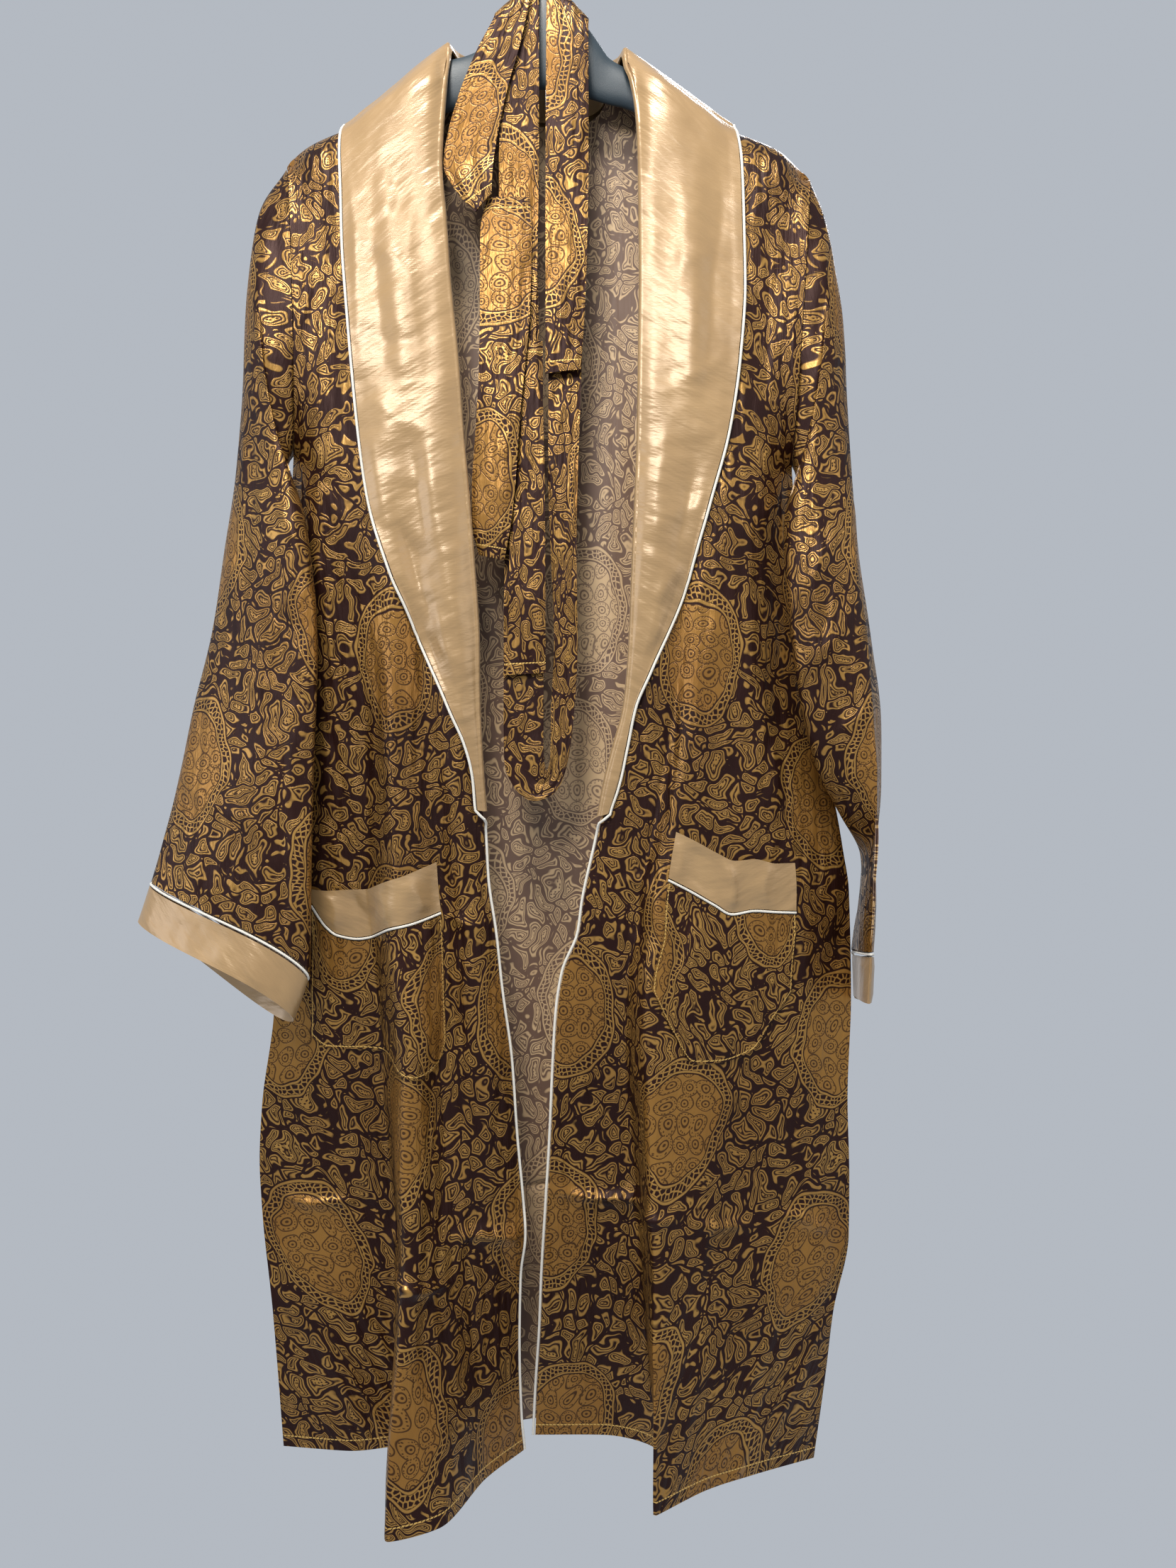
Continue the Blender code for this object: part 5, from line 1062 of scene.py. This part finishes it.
BAND_CREASES = {RIGHT: [(-184, 846, -176, 890, 9, 3.2), (-160, 846, -154, 892, 6, -2.4),
                        (-110, 834, -102, 876, 7, 2.6),
                        (-134, 842, -128, 884, 7, 2.0)],
                LEFT: [(155, 820, 158, 872, 4, 4.0), (128, 806, 134, 858, 8, -2.2),
                       (190, 822, 184, 870, 8, 2.6),
                       (112, 800, 114, 850, 6, 2.0)]}
PATCH_CREASES = {RIGHT: [(-112, 900, -96, 985, 7, 2.0), (-180, 905, -150, 970, 9, 1.6),
                         (-140, 890, -146, 980, 9, -1.5)],
                 LEFT: [(126, 880, 122, 960, 7, 1.6), (170, 885, 176, 975, 9, 1.6),
                        (148, 880, 150, 980, 8, -1.4)]}


def off_front(side, step, drop, lift):
    """Points of a front, moved out square to its outer face."""
    def inside(at_step, at_drop):
        x, depth = front_places(side, at_step, at_drop)
        return np.stack([x, -depth - SEAM_GAP / 2, -at_drop], axis=-1)
    across = inside(step + 0.01, drop) - inside(step - 0.01, drop)
    down = inside(step, drop + 3) - inside(step, drop - 3)
    out = np.cross(down, across) * (1 if side == RIGHT else -1)
    return inside(step, drop) + out / np.linalg.norm(out, axis=-1, keepdims=True) * (1.6 + lift)[..., None]


for side, name in ((RIGHT, "right"), (LEFT, "left")):
    front = [name + "_front_cloth"]
    band, foot = POCKET_BAND[side], POCKET_FOOT[side]
    fine = np.linspace(0, 1, 401)
    row_x = side * front_places(side, fine, np.full(401, float(POCKET_LEVEL)))[0]
    ends = np.interp([-band[0][0], -band[-1][0]], -row_x, fine)
    step = np.linspace(*ends, POCKET_COLUMNS)
    x = np.interp(step, fine, row_x)
    keys = [-place[0] for place in band]
    mouth = through(keys, [place[1] for place in band], -x)
    seam = through(keys, [place[2] for place in band], -x)
    low = through([-place[0] for place in foot], [place[1] for place in foot], -x)
    slope = np.gradient(seam, x)
    half = 1.75 * np.sqrt(1 + slope ** 2)
    middle = np.sin(math.pi * (x - band[0][0]) / (band[-1][0] - band[0][0]))
    band_rows = [off_front(side, step, mouth + (seam - half - mouth) * t, 0.6 + 2.2 * middle * (1 - t))
                 for t in np.linspace(0, 1, POCKET_BAND_ROWS)]
    patch_rows = [off_front(side, step, seam + half + (low - seam - half) * t,
                            0.6 + 1.2 * middle * math.sin(math.pi * t)) for t in np.linspace(0, 1,
                                                                                             PATCH_ROWS)]
    for piece, rows, creases, finishes in (("pocket_band", band_rows, BAND_CREASES, [gold_satin]),
                                           ("pocket", patch_rows, PATCH_CREASES,
                                            [jacquard_face, jacquard_reverse])):
        grid = np.array(rows)
        out = face_out(grid, flip=side == LEFT)
        creased = lay_on(crease(grid, out, creases[side], ripple=0.4), front, 0.45)
        across = np.cumsum(np.linalg.norm(np.diff(grid, axis=1), axis=2), axis=1).mean(axis=0)
        across = np.concatenate([[0], across])
        down = np.cumsum(np.linalg.norm(np.diff(grid, axis=0), axis=2), axis=0)
        down = np.vstack([np.zeros((1, POCKET_COLUMNS)), down])
        flat = np.stack([np.repeat(across[None], len(grid), axis=0), -down], axis=-1)
        # The patch is topstitched down both sides and round its foot, but not at its piped seam
        from_edge = np.minimum(flat[..., 0], across[-1] - flat[..., 0])
        from_edge = np.minimum(from_edge, down[-1:] - down) + 7.2
        if piece == "pocket_band":
            from_edge = None
        lift, thick = (SATIN_LIFT, 1.3) if piece == "pocket_band" else (CLOTH_LIFT, CLOTH_THICK)
        patch = cloth_wall(name + "_" + piece + "_cloth", creased, out, lift, thick, finishes, flat,
                           from_edge)
        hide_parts(name + "_" + piece)
    path = lay_on(off_front(side, step, seam, np.full(POCKET_COLUMNS, 1.8)), front, 1.7)
    cord = place_mesh(name + "_pocket_cord", round_cord(path, 1.0, 10), [white_piping])
    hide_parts(name + "_pocket_piping")


# The belt is a strip of the jacquard, folded to 40 mm and pressed. It is laid over the hanger's neck in
# folds, with both ends and a long loop hanging down inside the open fronts.

# Places along each stretch: one edge's x, depth towards the viewer, drop, then the other edge's
BELT = {
    "belt_fold": [(-46, -21, 142, -14, -21, 120), (-43, -18, 116, -12, -18, 90),
                  (-38, 0, 96.4, -10, 0, 70.4),
                  (-41, 20, 108, -11, 20.5, 88), (-57, 22, 140, -19, 22.5, 130),
                  (-71.5, 21, 175, -29, 22, 165),
                  (-81, 20, 208, -37, 22, 200), (-84.5, 20, 234, -41, 23, 224),
                  (-72, 24, 261, -43, 26, 246),
                  (-57, 25.5, 277, -44, 26, 262)],
    "belt_middle": [(-31, -16.5, 134, -4, -16.5, 116), (-30, -13, 114, -4, -13, 92),
                    (-26, 0, 91, -4, 0, 69.5),
                    (-28, 14.5, 104, -4, 14.5, 84), (-33, 17, 150, -4, 17, 146),
                    (-38, 16.5, 230, -4, 17, 228),
                    (-38, 16.5, 300, -5, 17, 298), (-36, 16.5, 352, -6, 17, 350),
                    (-34, 16.5, 404, -7, 17, 402)],
    "belt_left_end": [(-48, 19.2, 262, -12, 19.2, 262), (-53.5, 20.4, 292, -10, 20.4, 289),
                      (-53.5, 24, 360, -11.5, 24, 360), (-54, 26, 405, -15.5, 25, 405),
                      (-56.5, 25, 455, -20, 27, 455), (-60, 24, 512, -24, 27, 512),
                      (-60, 23, 540, -28, 27, 545),
                      (-54, 22, 566, -33, 25, 571)],
    "belt_right_end": [(4, -18.5, 118, 34, -18.5, 140), (4, -15, 88, 36, -15, 116),
                       (3.5, 0, 69, 37, 0, 101),
                       (3, 16, 80, 37.5, 16, 110), (2.4, 19, 150, 38, 20, 152), (2, 21, 230, 38, 19.5, 230),
                       (2, 20, 300, 37, 22, 300), (2, 22, 360, 34.5, 20, 361), (2, 21, 412, 31.5, 22, 409)],
    "belt_tail": [(-28, 19.2, 384, -.8, 19.2, 384), (-28, 19, 430, -.6, 19.4, 430),
                  (-28, 20, 500, 1, 22, 500),
                  (-28.5, 22, 560, 1.5, 23, 560), (-29, 22, 620, 1.8, 24, 620),
                  (-34, 22, 668, 1.8, 23, 666)],
    "belt_loop": [(-29, 12.6, 150, -5, 12.6, 146), (-30, 13, 240, -6, 13, 240),
                  (-31, 13.9, 330, -5, 14.2, 330),
                  (-32, 14.1, 430, -3, 14.4, 430), (-33, 14, 540, -1, 15, 540), (-34, 15, 640, 0, 17, 640),
                  (-34, 17, 700, 0, 19, 700), (-33, 19, 742, 0, 20, 728), (-24, 21, 764, 1, 20, 744),
                  (-8, 22, 775, 3.2, 20, 750), (9, 21, 768, 5, 20, 744), (20, 20, 744, 6, 19, 728),
                  (26, 19, 700, 6.4, 18, 700), (29, 18, 640, 9, 17, 640), (28, 17, 560, 6, 16, 560),
                  (29, 16, 500, 4, 15, 500), (31.5, 14, 430, 4, 14, 430), (34, 13, 330, 4, 13, 330),
                  (34, 13, 240, 5, 13, 240), (33, 12.6, 156, 4.5, 12.6, 152)]}
# How each stretch is held, its length, and the area of the 40 mm strip that shows in it
BELT_WIDTH = 0.040
BELT_COLUMNS = 13
BELT_ROW = 4
BELT_CUT = {"belt_fold": ("draped", 0.260, 0.0096), "belt_middle": ("draped", 0.378, 0.0121),
            "belt_left_end": ("hung", 0.308, 0.0122), "belt_right_end": ("draped", 0.385, 0.0146),
            "belt_tail": ("hung", 0.284, 0.0089), "belt_loop": ("hung", 1.234, 0.0355)}
BELT_CROWN = {"belt_fold": 1.0, "belt_middle": 0.5, "belt_left_end": 1.6, "belt_right_end": 1.5,
              "belt_tail": 1.0,
              "belt_loop": 0.2}

for number, (name, rows) in enumerate(BELT.items()):
    first = np.array([(r[0], -r[1], -r[2]) for r in rows], float)
    second = np.array([(r[3], -r[4], -r[5]) for r in rows], float)
    reach = np.linalg.norm(np.diff((first + second) / 2, axis=0), axis=1)
    reach = np.concatenate([[0], np.cumsum(reach)])
    places = np.linspace(0, reach[-1], int(reach[-1] / BELT_ROW))
    one = np.stack([through(reach, first[:, k], places) for k in range(3)], axis=1)
    two = np.stack([through(reach, second[:, k], places) for k in range(3)], axis=1)
    shares = np.linspace(0, 1, BELT_COLUMNS)
    grid = one[:, None] + (two - one)[:, None] * shares[None, :, None]
    out = face_out(grid)
    grid = grid + out * (BELT_CROWN[name] * np.sin(math.pi * shares))[None, :, None]
    out = face_out(grid)
    ripple = np.array([[0.35 * noise.noise((j * 0.5, i * 0.11, number * 7.3)) for j in range(BELT_COLUMNS)]
                       for i in range(len(grid))])
    across = np.linspace(0, BELT_WIDTH / MM, BELT_COLUMNS)[None].repeat(len(grid), axis=0) + 137 * number
    down = np.repeat(places[:, None], BELT_COLUMNS, axis=1) + 61 * number
    ends = np.minimum(places, places[-1] - places)[:, None].repeat(BELT_COLUMNS, axis=1)
    strip = cloth_wall(name + "_cloth", grid + out * (0.1 + ripple[..., None]), out, 0, 1.5,
                       [jacquard_face],
                       np.stack([across, down], axis=-1), from_edge=ends)
    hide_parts(name)
    held, length, area = BELT_CUT[name]


# The studio: a plain pale surround on every side, a round painted floor well below the hem, broad soft
# lights, and the camera at chest height, 1.02 m in front.

pale_board = blank("matt_painted_board")
tree = pale_board.node_tree
here = add(tree, "TexCoord", {}, out="Object")
rolled = add(tree, "TexNoise", {"Vector": here, "Scale": 6.0, "Detail": 3.0})
paint = add(tree, "Mix", {"Factor": rolled, "A": linear("#CDD3DC"), "B": linear("#D8DDE4")}, out=2,
            data_type="RGBA")
matt = add(tree, "MapRange", {"Value": rolled, "To Min": 0.8, "To Max": 0.9})
shader = add(tree, "BsdfPrincipled", {"Base Color": paint, "Roughness": matt})
add(tree, "OutputMaterial", {"Surface": shader})

FLOOR_Z = -2.6
FLOOR_RADIUS = 1.7
bm = bmesh.new()
bmesh.ops.create_circle(bm, cap_ends=True, segments=96, radius=FLOOR_RADIUS)
mesh = bpy.data.meshes.new("floor")
bm.to_mesh(mesh)
bm.free()
mesh.materials.append(pale_board)
floor = bpy.data.objects.new("floor", mesh)
floor.location = (0, 0, FLOOR_Z)
bpy.context.scene.collection.objects.link(floor)

# Each light: name, place, where it points, size, watts, colour
for name, place, target, size, watts, tint in (
        ("ceiling_panel", (-0.15, -1.0, 1.05), (0.0, 0.0, -0.6), 0.5, 33.0, "#FFFAF2"),
        ("left_panel", (-0.34, -1.35, 0.2), (-0.1, 0.0, -0.45), 0.42, 12.0, "#FFFDF8"),
        ("window_side", (-1.9, -0.9, -0.3), (0.0, 0.0, -0.8), 1.0, 8.0, "#F2F6FF"),
        ("fill_side", (1.8, -0.9, -0.1), (0.0, 0.0, -0.7), 1.0, 4.0, "#FFF9F2"),
        ("back_panel", (0.9, 2.2, 1.3), (0.0, 0.0, -0.7), 1.0, 60.0, "#F6F9FF")):
    lamp = bpy.data.lights.new(name, "AREA")
    lamp.shape = "SQUARE"
    lamp.size = size
    lamp.energy = watts
    lamp.color = linear(tint)[:3]
    made = bpy.data.objects.new(name, lamp)
    made.location = place
    made.rotation_euler = (Vector(target) - Vector(place)).to_track_quat("-Z", "Y").to_euler()
    bpy.context.scene.collection.objects.link(made)

# The pale surround gives the soft, even part of the light, the same that shows behind the gown
world = bpy.data.worlds.new("soft_room")
world.use_nodes = True
tree = world.node_tree
tree.nodes.clear()
surround = add(tree, "Background", {"Color": linear("#E2E9F3"), "Strength": 0.6})
add(tree, "OutputWorld", {"Surface": surround})
bpy.context.scene.world = world

lens = bpy.data.cameras.new("camera")
lens.sensor_fit = "VERTICAL"
lens.sensor_height = 36
lens.lens = 27.016
camera = bpy.data.objects.new("camera", lens)
camera.location = (0.0378, -1.02, -0.76)
camera.rotation_euler = (math.radians(90), 0, 0)
bpy.context.scene.collection.objects.link(camera)
bpy.context.scene.camera = camera
bpy.context.scene.view_settings.view_transform = "Standard"
